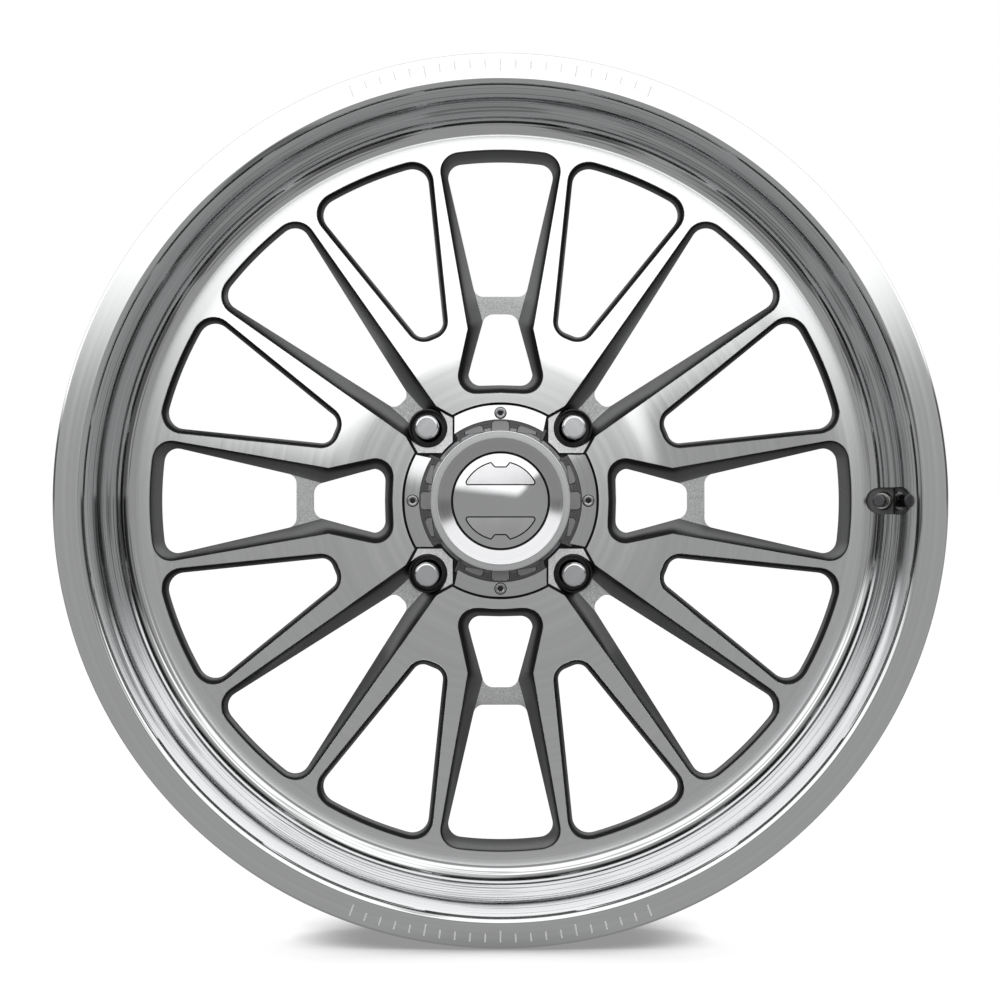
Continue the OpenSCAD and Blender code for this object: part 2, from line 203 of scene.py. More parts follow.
class Shape:
    """Faces in millimetres in the turner's frame, each with its finish, welded into a mesh."""

    def __init__(self):
        self.points = []
        self.faces = []
        self.slots = []

    def add(self, points, faces, slot=0):
        first = len(self.points)
        self.points += [tuple(p) for p in points]
        self.faces += [tuple(first + i for i in face) for face in faces]
        self.slots += [slot] * len(faces)

    def band(self, lower, upper, slot=0, closed=False):
        """Quads between two rows of points."""
        count = len(lower)
        last = count if closed else count - 1
        faces = [(i, (i + 1) % count, count + (i + 1) % count, count + i) for i in range(last)]
        self.add(list(lower) + list(upper), faces, slot)

    def loft(self, rows, slots=0, closed=False):
        for i in range(len(rows) - 1):
            slot = slots[i] if isinstance(slots, list) else slots
            self.band(rows[i], rows[i + 1], slot, closed)

    def lathe(self, profile, steps, slots=0, radius=None):
        """The profile of (radius, height) points turned about the axle. A long straight step
        gets a narrow step at both ends, so that it shades flat beside a rounded corner."""
        guard = 0.05
        if not isinstance(slots, list):
            slots = [slots] * (len(profile) - 1)
        section, kinds = [profile[0]], []
        for start, end, slot in zip(profile, profile[1:], slots):
            length = hypot(end[0] - start[0], end[1] - start[1])
            shares = [guard / length, 1 - guard / length, 1] if length > 1.2 else [1]
            for share in shares:
                section.append(tuple(a + (b - a) * share for a, b in zip(start, end)))
                kinds.append(slot)
        profile, slots = section, kinds
        rows = []
        for r, z in profile:
            row = []
            for i in range(steps):
                turn = 2 * pi * i / steps
                at = radius(turn, r, z) if radius else r
                row.append((at * cos(turn), at * sin(turn), z))
            rows.append(row)
        self.loft(rows, slots, closed=True)

    def moved(self, matrix, flip=False):
        """A copy of everything so far, moved by matrix."""
        points = [tuple(matrix @ Vector(p)) for p in self.points]
        faces = [tuple(reversed(f)) for f in self.faces] if flip else list(self.faces)
        other = Shape()
        other.points, other.faces, other.slots = points, faces, list(self.slots)
        return other

    def join(self, other):
        first = len(self.points)
        self.points += other.points
        self.faces += [tuple(first + i for i in face) for face in other.faces]
        self.slots += other.slots

    def make(self, name, finishes, sharp=28, place=None):
        """The welded mesh object in metres, smooth except where it turns by over sharp degrees."""
        mesh = bpy.data.meshes.new(name)
        place = place or Matrix.Identity(4)
        spots = [place @ Vector(p) for p in self.points]
        mesh.from_pydata([(p.x * MM, -p.z * MM, p.y * MM) for p in spots], [], self.faces)
        mesh.polygons.foreach_set("material_index", self.slots)
        mesh.polygons.foreach_set("use_smooth", [True] * len(self.faces))
        weld(mesh)
        mesh.validate()
        mesh.set_sharp_from_angle(angle=radians(sharp))
        for finish in finishes:
            mesh.materials.append(finish)
        piece = bpy.data.objects.new(name, mesh)
        bpy.context.scene.collection.objects.link(piece)
        return piece


def weld(mesh):
    """Merges doubled points, and makes every closed shell of the mesh face outwards."""
    work = bmesh.new()
    work.from_mesh(mesh)
    bmesh.ops.remove_doubles(work, verts=work.verts, dist=0.003 * MM)
    bmesh.ops.recalc_face_normals(work, faces=work.faces)
    work.to_mesh(mesh)
    work.free()


def filled(outline, holes=(), spacing=None, clearance=2.5, rings=()):
    """Triangles that fill outline outside the holes, with inner points on a polar grid, and
    with edges along the given rings about the axle."""
    loops = [list(outline)] + [list(hole) for hole in holes]
    points = [p for loop in loops for p in loop]
    edges = []
    first = 0
    for loop in loops:
        count = len(loop)
        edges += [(first + i, first + (i + 1) % count) for i in range(count)]
        first += count
    walls = [(np.array(loop), np.roll(np.array(loop), -1, axis=0)) for loop in loops]
    if spacing:
        inner = polar_grid(np.array(outline), spacing, rings)
        far = np.ones(len(inner), bool)
        for start, end in walls:
            far &= distance_to(inner, start, end) > clearance
        inner = inner[far & in_region(inner, walls)]
        points += [tuple(p) for p in inner]
    flat, _, triangles, *_ = delaunay_2d_cdt([Vector(p) for p in points], edges, [], 0, 1e-5)
    flat = np.array([tuple(p) for p in flat])
    triangles = np.array(triangles)
    corners = flat[triangles]
    across, up = corners[:, 1] - corners[:, 0], corners[:, 2] - corners[:, 0]
    area = np.abs(across[:, 0] * up[:, 1] - across[:, 1] * up[:, 0]) / 2
    real = area > 1e-5
    return flat, triangles[real & in_region(corners.mean(axis=1), walls)]


def polar_grid(outline, spacing, rings=()):
    """Points on circles about the axle, a spacing apart, that cover the outline's reach. Near
    one of the rings they stay on that ring, closer together."""
    r = np.hypot(outline[:, 0], outline[:, 1])
    turn = np.arctan2(outline[:, 1], outline[:, 0])
    points = []
    goes_round = turn.max() - turn.min() > 1.9 * pi
    nearest = 1 if goes_round else ceil(r.min() / spacing)
    circles = np.arange(nearest, r.max() / spacing) * spacing
    for ring in rings:
        circles = [at for at in circles if abs(at - ring) > spacing * 0.6]
        circles = sorted([*circles, ring])
    for i, at in enumerate(circles):
        finer = 4 if at in rings else 1
        count = max(2, ceil(at * (turn.max() - turn.min()) / spacing * finer))
        shift = 0.5 * (i % 2)
        turns = turn.min() + (np.arange(count) + shift) * (turn.max() - turn.min()) / count
        points += [(at * cos(t), at * sin(t)) for t in turns]
    return np.array(points).reshape(-1, 2)


def in_region(points, walls):
    """Which points have an odd number of walls between them and the far right."""
    inside = np.zeros(len(points), bool)
    x, y = points[:, 0:1], points[:, 1:2]
    for start, end in walls:
        x0, y0, x1, y1 = start[:, 0], start[:, 1], end[:, 0], end[:, 1]
        crosses = (y0 > y) != (y1 > y)
        rise = np.where(y1 == y0, 1, y1 - y0)
        at = x0 + (y - y0) * (x1 - x0) / rise
        inside ^= (crosses & (x < at)).sum(axis=1) % 2 == 1
    return inside


def distance_to(points, start, end):
    """Each point's distance to the nearest wall."""
    along = end - start
    length = (along**2).sum(axis=1)
    offset = points[:, None, :] - start[None]
    share = np.clip((offset * along).sum(axis=2) / np.where(length == 0, 1, length), 0, 1)
    return np.sqrt(((offset - share[..., None] * along) ** 2).sum(axis=2)).min(axis=1)


def raised(points, height):
    """Flat points lifted to a height, or to height(radius)."""
    if callable(height):
        return [(x, y, height(hypot(x, y))) for x, y in points]
    return [(x, y, height) for x, y in points]


# ---------------------------------------------------------------- finishes


class Finish:
    """A material on one Principled shader, with nodes added one at a time."""

    def __init__(self, name, colour, roughness, metallic=1.0):
        self.material = bpy.data.materials.new(name)
        self.material.use_nodes = True
        self.tree = self.material.node_tree
        self.shader = self.tree.nodes["Principled BSDF"]
        self.colour = tuple(colour)
        self.shader.inputs["Base Color"].default_value = (*self.colour, 1)
        self.shader.inputs["Roughness"].default_value = roughness
        self.shader.inputs["Metallic"].default_value = metallic
        self.roughness = roughness
        self.bumps = None

    def node(self, kind, settings=None, **inputs):
        node = self.tree.nodes.new(kind)
        for key, value in (settings or {}).items():
            setattr(node, key, value)
        for key, value in inputs.items():
            socket = node.inputs[int(key[1:])] if key[1:].isdigit() else node.inputs[key]
            self.feed(socket, value)
        return node

    def feed(self, socket, value):
        if isinstance(value, bpy.types.NodeSocket):
            self.tree.links.new(value, socket)
        else:
            socket.default_value = value

    def place(self):
        return self.node("ShaderNodeTexCoord").outputs["Object"]

    def around_axle(self):
        """Where a point is in the turned section: its radius and its place along the axle."""
        parts = self.node("ShaderNodeSeparateXYZ", _0=self.place()).outputs
        square = self.node("ShaderNodeMath", {"operation": "MULTIPLY"}, _0=parts[0], _1=parts[0])
        both = self.node(
            "ShaderNodeMath", {"operation": "MULTIPLY_ADD"},
            _0=parts[2], _1=parts[2], _2=square.outputs[0])
        radius = self.node("ShaderNodeMath", {"operation": "SQRT"}, _0=both.outputs[0])
        section = self.node("ShaderNodeCombineXYZ", _0=radius.outputs[0], _1=parts[1])
        return section.outputs[0]

    def noise(self, where, scale, detail=2.0, rough=0.5):
        node = self.node("ShaderNodeTexNoise", {"noise_dimensions": "3D"}, Vector=where)
        node.inputs["Scale"].default_value = scale
        node.inputs["Detail"].default_value = detail
        node.inputs["Roughness"].default_value = rough
        return node.outputs["Fac"]

    def spread(self, value, low, high, out_low, out_high):
        node = self.node(
            "ShaderNodeMapRange", _0=value, _1=low, _2=high, _3=out_low, _4=out_high)
        return node.outputs[0]

    def vary_roughness(self, value, by):
        """Roughness that runs by either side of the finish's own, as value goes from 0.3 to 0.7."""
        amount = self.spread(value, 0.3, 0.7, self.roughness - by, self.roughness + by)
        self.feed(self.shader.inputs["Roughness"], amount)

    def shade(self, value, low, high, darkest, brightest):
        """Colour from one share of the finish's own to another, as value goes from low to high."""
        share = self.spread(value, low, high, 0.0, 1.0)
        mix = self.node("ShaderNodeMix", {"data_type": "RGBA"}, Factor=share)
        mix.inputs[6].default_value = (*[c * darkest for c in self.colour], 1)
        mix.inputs[7].default_value = (*[min(1, c * brightest) for c in self.colour], 1)
        self.feed(self.shader.inputs["Base Color"], mix.outputs[2])

    def vary_colour(self, value, by):
        """Colour that runs by either side of the finish's own, as value goes from 0.3 to 0.7."""
        self.shade(value, 0.3, 0.7, 1 - by, 1 + by)

    def bump(self, value, depth):
        """Relief of that depth in metres, added to any relief there already is."""
        node = self.node("ShaderNodeBump", Height=value, Distance=depth)
        node.inputs["Strength"].default_value = 1.0
        if self.bumps:
            self.feed(node.inputs["Normal"], self.bumps)
        self.bumps = node.outputs[0]
        self.feed(self.shader.inputs["Normal"], self.bumps)

    def turn_tangent(self, amount):
        """Highlights drawn out across the turning lines."""
        tangent = self.node("ShaderNodeTangent", {"direction_type": "RADIAL", "axis": "Y"})
        self.feed(self.shader.inputs["Tangent"], tangent.outputs[0])
        self.shader.inputs["Anisotropic"].default_value = amount


def polished(name, colour, roughness):
    """Mirror-polished metal with faint turning lines and wiped smudges."""
    finish = Finish(name, colour, roughness)
    lines = finish.noise(finish.around_axle(), 900, 2)
    finish.bump(lines, 0.0000012)
    smudges = finish.noise(finish.place(), 14, 4, 0.6)
    finish.vary_roughness(smudges, roughness * 0.35)
    finish.vary_colour(smudges, 0.015)
    return finish.material


def polished_wall_painted_streaks(name, colour, roughness):
    """Mirror-polished metal with dark, slightly wandering rings painted into its colour: a painted
    reflection of dark streaks mirrored in the wall.
    """
    finish = Finish(name, colour, roughness)
    section = finish.node("ShaderNodeSeparateXYZ", _0=finish.around_axle()).outputs
    wander = finish.spread(finish.noise(finish.place(), 5), 0.0, 1.0, 0.0, 0.012)
    where = finish.node(
        "ShaderNodeCombineXYZ", _0=section[0], _1=section[1], _2=wander).outputs[0]
    rings = finish.noise(where, 130, 3, 0.7)
    # Painted reflection: the colour drops to 0.3 of its own in the noisy ring bands.
    finish.shade(rings, 0.37, 0.45, 0.3, 1)
    finish.bump(finish.noise(where, 700, 2), 0.0000015)
    finish.vary_roughness(finish.noise(finish.place(), 14, 4, 0.6), roughness * 0.35)
    return finish.material


def turned_metal(name, colour, roughness, line_depth, stretch=0.55):
    """Metal off the lathe: fine rings about the axle, and highlights that fan across them."""
    finish = Finish(name, colour, roughness)
    section = finish.around_axle()
    finish.bump(finish.noise(section, 1500, 3, 0.7), line_depth)
    rings = finish.noise(section, 260, 2)
    finish.vary_roughness(rings, roughness * 0.16)
    finish.vary_colour(rings, 0.03)
    finish.turn_tangent(stretch)
    return finish.material


def blasted(name, colour, roughness, grain=1400, depth=0.00002, mottle=0.1):
    """Metal blasted with fine beads: an even, sparkling grain."""
    finish = Finish(name, colour, roughness)
    speckle = finish.noise(finish.place(), grain, 2, 0.6)
    finish.bump(speckle, depth)
    finish.vary_colour(speckle, mottle)
    finish.vary_roughness(finish.noise(finish.place(), 60, 2), 0.04)
    return finish.material


def milled(name, colour, roughness):
    """Milled pocket walls: soft cutter marks along the wall, under a fine grain, in a dark colour
    that is painted shade for the steep walls.
    """
    finish = Finish(name, colour, roughness)
    parts = finish.node("ShaderNodeSeparateXYZ", _0=finish.place()).outputs
    steps = finish.node("ShaderNodeCombineXYZ", _0=0.0, _1=parts[1], _2=0.0)
    finish.bump(finish.noise(steps.outputs[0], 700, 1), 0.000008)
    grain = finish.noise(finish.place(), 900, 2, 0.6)
    finish.bump(grain, 0.000008)
    finish.vary_colour(grain, 0.07)
    return finish.material


def rubber(name, colour):
    finish = Finish(name, colour, 0.75, metallic=0.0)
    grain = finish.noise(finish.place(), 2500, 2)
    finish.bump(grain, 0.00001)
    finish.vary_colour(grain, 0.2)
    return finish.material


_made = {}


def finish_named(kind):
    """Each finish is made once, from the colours in the finishes' properties."""
    if kind in _made:
        return _made[kind]
    tints = bpy.context.scene.rim_finishes
    makers = {
        "polished": lambda: polished("polished aluminium", tints.polished, tints.mirror),
        "wall": lambda: polished_wall_painted_streaks("polished wall", tints.polished, tints.mirror),
        "lip": lambda: turned_metal("lip facing", tints.machined, tints.facing * 0.8, 1e-6, 0.2),
        "faced": lambda: turned_metal("faced spokes", tints.machined, tints.facing, 0.000001, 0.35),
        "ring": lambda: turned_metal("turned ring", tints.machined, 0.3, 0.000003, 0.3),
        # Milled walls in a dark colour: painted shade on the pocket walls, the lug holes and the
        # valve pocket.
        "milled": lambda: milled("milled walls with painted shade", tints.pockets, 0.42),
        "blasted": lambda: blasted("blasted floors", tints.blasted, 0.5, 1100, 3e-5, 0.3),
        "bright blasted": lambda: blasted("blasted plates", tints.plates, 0.45, 1100, 3e-5, 0.2),
        "back": lambda: turned_metal("turned back", tints.machined, 0.38, 0.000006, 0.3),
        "weld": lambda: blasted("brushed weld", tints.weld, 0.4, 500, 0.00004, 0.15),
        "black steel": lambda: turned_metal("black oxide steel", tints.black_steel, 0.3, 2e-6, 0),
        "plated": lambda: polished("plated steel", tints.plated, 0.12),
        "spring": lambda: turned_metal("spring steel", (0.4, 0.41, 0.43), 0.3, 0.000003, 0.2),
        "nickel": lambda: turned_metal("nickel plate", (0.7, 0.69, 0.66), 0.22, 0.000003, 0.2),
        "brass": lambda: turned_metal("turned brass", (0.78, 0.6, 0.28), 0.25, 0.000003, 0.2),
        "rubber": lambda: rubber("moulded rubber", (0.03, 0.03, 0.032)),
        "anodised": lambda: blasted("dark anodising", (0.12, 0.12, 0.125), 0.35, 3000, 5e-6),
        "nut top": lambda: turned_metal("faced nut top", tints.plated, 0.14, 1e-6, 0),
        "cap side": lambda: turned_metal("turned cap side", tints.machined, 0.2, 0.000002, 0.3),
        "cap ring": lambda: turned_metal("turned cap ring", tints.machined, 0.15, 1e-6, 0.2),
        "cap funnel": lambda: turned_metal("turned funnel", (0.6, 0.6, 0.61), 0.14, 2e-6, 0.6),
        "mirror plate": lambda: polished("mirror plate", tints.polished, 0.04),
        "plate pocket": lambda: blasted("plate pockets", (0.7, 0.7, 0.71), 0.32, 2600, 5e-6, 0.08),
        # Painted shade: near-black colour in the narrow grooves round the plate's pockets.
        "groove shade": lambda: blasted("painted groove shade", (0.04, 0.04, 0.042), 0.5, 2600, 5e-6),
        "ear face": lambda: turned_metal("turned ears", tints.polished, 0.14, 0.000002, 0.3),
        "base pads": lambda: blasted("base pads", (0.3, 0.3, 0.305), 0.3, 1600, 8e-6),
        "base steps": lambda: turned_metal("base steps", (0.14, 0.14, 0.143), 0.2, 4e-6, 0.3),
        "screw head": lambda: turned_metal("screw heads", (0.42, 0.42, 0.43), 0.25, 2e-6, 0),
        "etched": lambda: blasted("etched marks", (0.9, 0.9, 0.9), 0.6, 2500, 5e-6, 0.05),
        # Painted shade: a near-black colour on grooves, gaps, recess floors, hidden sides and screw
        # sockets, where only shade falls.
        "dark gap": lambda: blasted("shaded recess", (0.05, 0.05, 0.052), 0.5, 1500, 5e-6),
    }
    _made[kind] = makers[kind]()
    return _made[kind]


# ---------------------------------------------------------------- what a user may change


class RimSizes(bpy.types.PropertyGroup):
    turn_steps: IntProperty(
        name="Turning steps", description="Straight steps in a turn of the large pieces",
        default=384, min=96, max=720)
    edge_break: FloatProperty(
        name="Edge break", description="Width of the chamfer round the spokes' machined faces",
        default=0.35 * MM, min=0, max=MM, unit="LENGTH")
    pocket_depth: FloatProperty(
        name="Pocket depth", description="Depth of the milled step round each window",
        default=5.5 * MM, min=3 * MM, max=8 * MM, unit="LENGTH")
    mark_angle: FloatProperty(
        name="Mark spacing", description="Angle between the index marks on the lip",
        default=radians(2), min=radians(1), max=radians(5), unit="ROTATION")


class RimFinishes(bpy.types.PropertyGroup):
    polished: FloatVectorProperty(
        name="Polished", description="Colour of the polished barrel and cap",
        default=(0.72, 0.725, 0.73), subtype="COLOR", min=0, max=1)
    machined: FloatVectorProperty(
        name="Machined", description="Colour of the spokes' turned faces and the lip",
        default=(0.8, 0.805, 0.81), subtype="COLOR", min=0, max=1)
    # The pockets' dark colour is painted shade on the milled walls, the lug holes and the valve
    # pocket.
    pockets: FloatVectorProperty(
        name="Pockets", description="Colour of the milled pocket walls",
        default=(0.13, 0.131, 0.133), subtype="COLOR", min=0, max=1)
    blasted: FloatVectorProperty(
        name="Blasted floors", description="Colour of the blasted floors and bridges",
        default=(0.52, 0.523, 0.527), subtype="COLOR", min=0, max=1)
    plates: FloatVectorProperty(
        name="Blasted plates", description="Colour of the plates round the lug holes",
        default=(0.85, 0.855, 0.86), subtype="COLOR", min=0, max=1)
    weld: FloatVectorProperty(
        name="Weld", description="Colour of the weld bead",
        default=(0.55, 0.55, 0.56), subtype="COLOR", min=0, max=1)
    black_steel: FloatVectorProperty(
        name="Black steel", description="Colour of the lug seats and the cap screws",
        default=(0.045, 0.045, 0.047), subtype="COLOR", min=0, max=1)
    plated: FloatVectorProperty(
        name="Plated steel", description="Colour of the lug nuts",
        default=(0.75, 0.755, 0.77), subtype="COLOR", min=0, max=1)
    mirror: FloatProperty(
        name="Mirror roughness", description="Roughness of the polished pieces",
        default=0.07, min=0, max=1, subtype="FACTOR")
    facing: FloatProperty(
        name="Facing roughness", description="Roughness of the spokes' turned faces",
        default=0.14, min=0, max=1, subtype="FACTOR")


class RimStudio(bpy.types.PropertyGroup):
    distance: FloatProperty(
        name="Distance", description="From the front lip to the camera",
        default=1.15, min=0.5, unit="LENGTH")
    lens: FloatProperty(
        name="Lens", description="Focal length of the camera, in millimetres",
        default=57.6, min=20)
    sky: FloatProperty(
        name="Sky", description="Strength of the white studio above the camera's level",
        default=1.45, min=0)
    ground: FloatProperty(
        name="Ground", description="Strength of the grey studio below the camera's level",
        default=0.37, min=0)
    side: FloatProperty(
        name="Side", description="Strength of the dark studio at the sides",
        default=0.03, min=0)
    behind: FloatProperty(
        name="Behind", description="Strength of the dim studio behind the wheel",
        default=0.35, min=0)
    floor_colour: FloatVectorProperty(
        name="Floor", description="Colour of the floor",
        default=(1, 1, 1), subtype="COLOR", min=0, max=1)
    shadow: FloatProperty(
        name="Shadow", description="How far from the wheel the floor still darkens",
        default=0.055, min=0.01, unit="LENGTH")


# ---------------------------------------------------------------- the barrel


def rear_flange():
    """From the rear face round the flange's edge and down its hook to the bead seat."""
    edge = [
        (FLANGE_R - 2, REAR_Z), (FLANGE_R - 0.6, REAR_Z + 0.6), (FLANGE_R, REAR_Z + 2),
        (FLANGE_R, REAR_Z + 7), (FLANGE_R - 0.5, REAR_Z + 8.4), (FLANGE_R - 1.5, REAR_Z + 9.5),
        (FLANGE_R - 4, REAR_Z + 10.5),
    ]
    return edge + arc((SEAT_R + 9, REAR_Z + 19.5), 9, pi / 2, pi, 10)


def front_flange(lip_z):
    """From the bead seat up the flange's hook and round its edge to the lip."""
    return arc((SEAT_R + 9, FRONT_Z - 19.5), 9, pi, pi / 2, 10) + [
        (FLANGE_R - 4, FRONT_Z - 10.5), (FLANGE_R - 1.5, FRONT_Z - 9.5),
        (FLANGE_R - 0.5, FRONT_Z - 8.4), (FLANGE_R, FRONT_Z - 7), (FLANGE_R, lip_z - 2),
        (FLANGE_R - 0.6, lip_z - 0.6), (FLANGE_R - 2, lip_z),
    ]


def barrel_profile():
    """The barrel's section as (points, finish of each step), from the lip's inner rounding round
    the dish, the back, the tyre side and the front flange to the lip again."""
    lip_z = FRONT_Z - 0.05
    foot_z = VALVE_SEAT.z - (VALVE_SEAT.x - WELL_R) * tan(VALVE_TILT) - VALVE_WEB / cos(VALVE_TILT)
    side_r = SEAT_R + 0.2
    well_in = WELL_R - 6.5
    inner_r = SEAT_R - 6
    dish = joined(
        arc((WALL_R + LIP_ROUND, lip_z - LIP_ROUND), LIP_ROUND, pi / 2, pi, 14),
        line((WALL_R, lip_z - LIP_ROUND), (WALL_R, LEDGE_Z + 0.4), 14),
        arc((WALL_R - 0.4, LEDGE_Z + 0.4), 0.4, 0, -pi / 2, 3),
        [
            (CENTRE_R + COVE_R + 2.4, LEDGE_Z), (CENTRE_R + COVE_R + 2.2, LEDGE_Z - 0.2),
            (CENTRE_R + COVE_R + 2, LEDGE_Z - 0.9), (CENTRE_R + COVE_R + 1.2, LEDGE_Z - 0.9),
            (CENTRE_R + COVE_R + 1, LEDGE_Z - 0.2), (CENTRE_R + COVE_R + 0.8, LEDGE_Z),
        ],
        arc((CENTRE_R, LEDGE_Z), COVE_R, 0, -pi / 2, 22))
    back = [
        (CENTRE_R, RING_Z), (CENTRE_R, CENTRE_BACK_Z), (CENTRE_R - 2, CENTRE_BACK_Z),
        (CENTRE_R - 2, CENTRE_BACK_Z - 1), (well_in + 0.2, -43), (well_in + 0.3, -45),
        (well_in + 2, -48), (inner_r - 2.2, -57), (inner_r - 0.6, -59), (inner_r, -61.5),
        (inner_r, REAR_Z + 3), (inner_r + 0.6, REAR_Z + 1), (inner_r + 2, REAR_Z),
    ]
    outside = [
        (SEAT_R - 1.9, REAR_Z + 42), (SEAT_R + 0.3, REAR_Z + 45.5), (SEAT_R + 0.8, REAR_Z + 47),
        (SEAT_R + 0.3, REAR_Z + 48.5), (SEAT_R - 1.9, REAR_Z + 51), (WELL_R + 2, -49),
        (WELL_R + 0.5, -47), (WELL_R, -45), (WELL_R, foot_z - 1),
        (WELL_R + 0.6, foot_z + 0.3), (side_r, foot_z + (side_r - WELL_R) * tan(VALVE_TILT)),
        (side_r, FRONT_Z - 52), (SEAT_R + 0.8, FRONT_Z - 48.5), (SEAT_R + 0.8, FRONT_Z - 46),
        (SEAT_R - 1.9, FRONT_Z - 42),
    ]
    face = [(WALL_R + LIP_ROUND, lip_z)]
    parts = [dish, back, rear_flange(), outside, front_flange(lip_z), face]
    finishes = [0, 1, 1, 1, 1, 2]
    points, slots = [], []
    for part, slot in zip(parts, finishes):
        before = len(points)
        points = joined(points, part) if points else list(part)
        slots += [slot] * (len(points) - before - (0 if before else 1))
    slots[-len(face) - 6:] = [2] * (len(face) + 6)
    return points, slots


class RIM_OT_barrel(bpy.types.Operator):
    """Turn the barrel with its polished dish, and cut the valve's pocket and hole"""

    bl_idname = "rim.barrel"
    bl_label = "Barrel"

    def execute(self, context):
        profile, slots = barrel_profile()
        shape = Shape()
        shape.lathe(profile, context.scene.rim_sizes.turn_steps, slots)
        finishes = [finish_named(n) for n in ("wall", "back", "lip", "milled")]
        piece = shape.make("barrel", finishes)
        cut(piece, pocket_cutter())
        cut(piece, hole_cutter())
        piece.data.set_sharp_from_angle(angle=radians(28))
        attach(piece, "wheel")
        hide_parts("rim_barrel")
        marks = index_marks(context.scene.rim_sizes.mark_angle)
        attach(marks, "wheel")
        bead = weld_bead()
        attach(bead, "wheel")
        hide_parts("weld_bead")
        return {"FINISHED"}


def valve_place():
    """From the valve's own frame, with its axis along z and its seat at 0, to the turner's."""
    return Matrix.Translation(VALVE_SEAT) @ Matrix.Rotation(-VALVE_TILT, 4, "Y")


def pocket_cutter():
    """The U-shaped pocket in the foot of the wall, with its floor square to the valve."""
    half = arc((POCKET_MID, 0), POCKET_R, -pi / 2, -3 * pi / 2, 41)
    outline = [(POCKET_OUT, -POCKET_R)] + half + [(POCKET_OUT, POCKET_R)]
    floor = [
        (x, y, VALVE_SEAT.z + (x - VALVE_SEAT.x) * tan(VALVE_TILT)) for x, y in outline
    ]
    roof = [(x, y, POCKET_TOP_Z) for x, y in outline]
    shape = Shape()
    shape.band(floor, roof, closed=True)
    count = len(outline)
    shape.add(floor, [tuple(range(count))])
    shape.add(roof, [tuple(reversed(range(count)))])
    return shape.make("pocket cutter", [finish_named("milled")])


def hole_cutter():
    shape = Shape()
    shape.lathe([(0, -9), (5.75, -9), (5.75, 3), (0, 3)], 64)
    return shape.make("hole cutter", [finish_named("milled")], place=valve_place())


def cut(piece, cutter):
    """Cuts the cutter's solid out of the piece, and removes the cutter."""
    modifier = piece.modifiers.new("cut", "BOOLEAN")
    modifier.operation = "DIFFERENCE"
    modifier.solver = "EXACT"
    modifier.material_mode = "TRANSFER"
    modifier.object = cutter
    graph = bpy.context.evaluated_depsgraph_get()
    result = bpy.data.meshes.new_from_object(piece.evaluated_get(graph))
    piece.modifiers.clear()
    piece.data = result
    bpy.data.objects.remove(cutter)


def index_marks(spacing):
    """Short etched bars on the lip, at the top and the bottom, spaced like a degree scale."""
    shape = Shape()
    inner, outer, half = 309.0, 317.5, 0.55
    for side in (pi / 2, -pi / 2):
        for i in range(-10, 11):
            turn = side + i * spacing
            start = inner + (0 if i % 5 == 0 else 2.4)
            outline = [(start, -half), (outer, -half), (outer, half), (start, half)]
            bar = turned(outline, turn)
            top = [(x, y, FRONT_Z) for x, y in bar]
            low = [(x, y, FRONT_Z - 0.2) for x, y in bar]
            shape.band(low, top, closed=True)
            shape.add(top, [(0, 1, 2, 3)])
            shape.add(low, [(3, 2, 1, 0)])
    return shape.make("index_marks", [finish_named("etched")])


def weld_bead():
    """A rippled fillet weld behind the centre, all the way round."""
    leg = 5
    steps = 720
    ripple = 0.12

    def swell(turn, r, z):
        wave = abs(sin(turn * 110)) ** 0.7
        full = CENTRE_R - 2
        return full - (full - r) * (1 - ripple + ripple * wave)

    section = arc((CENTRE_R - 2, CENTRE_BACK_Z), leg, pi, 3 * pi / 2, 8)
    shape = Shape()
    shape.lathe([(CENTRE_R - 2, CENTRE_BACK_Z)] + section + [(CENTRE_R - 2, CENTRE_BACK_Z)],
                steps, radius=swell)
    return shape.make("weld", [finish_named("weld")], sharp=50)


# ---------------------------------------------------------------- the spoked centre

# The last slot is painted shade: near-black colour on the groove round each lug plate and on the
# recess under the cap.
FACED, MILLED, FLOOR, PLATE, BACK, PAINTED_SHADE = range(6)


def face_angle():
    across = RING_IN_R - HUB_FLAT_R
    up = RING_Z - HUB_Z + BEND_R
    return pi / 2 - atan2(up, across) - acos(BEND_R / hypot(across, up))


def face_height(r):
    """Height of the front face at radius r."""
    lean = face_angle()
    if r <= HUB_FLAT_R:
        return HUB_Z
    if r < HUB_FLAT_R + BEND_R * sin(lean):
        return HUB_Z - BEND_R + sqrt(BEND_R**2 - (r - HUB_FLAT_R) ** 2)
    return RING_Z + max(0, RING_IN_R - r) * tan(lean)


def face_normal(r):
    """How far the front face leans outwards at radius r, as (radial, forward)."""
    lean = face_angle()
    if r <= HUB_FLAT_R or r > RING_IN_R:
        return 0, 1
    if r < HUB_FLAT_R + BEND_R * sin(lean):
        lean = asin((r - HUB_FLAT_R) / BEND_R)
    lean *= min(1, (RING_IN_R - r) / RING_BLEND)
    return sin(lean), cos(lean)


def back_height(r):
    """Height of the centre's rear face at radius r."""
    return float(np.interp(r, [PAD_R, PAD_R + 5, 250, 258], [0, 4, -5.5, CENTRE_BACK_Z]))


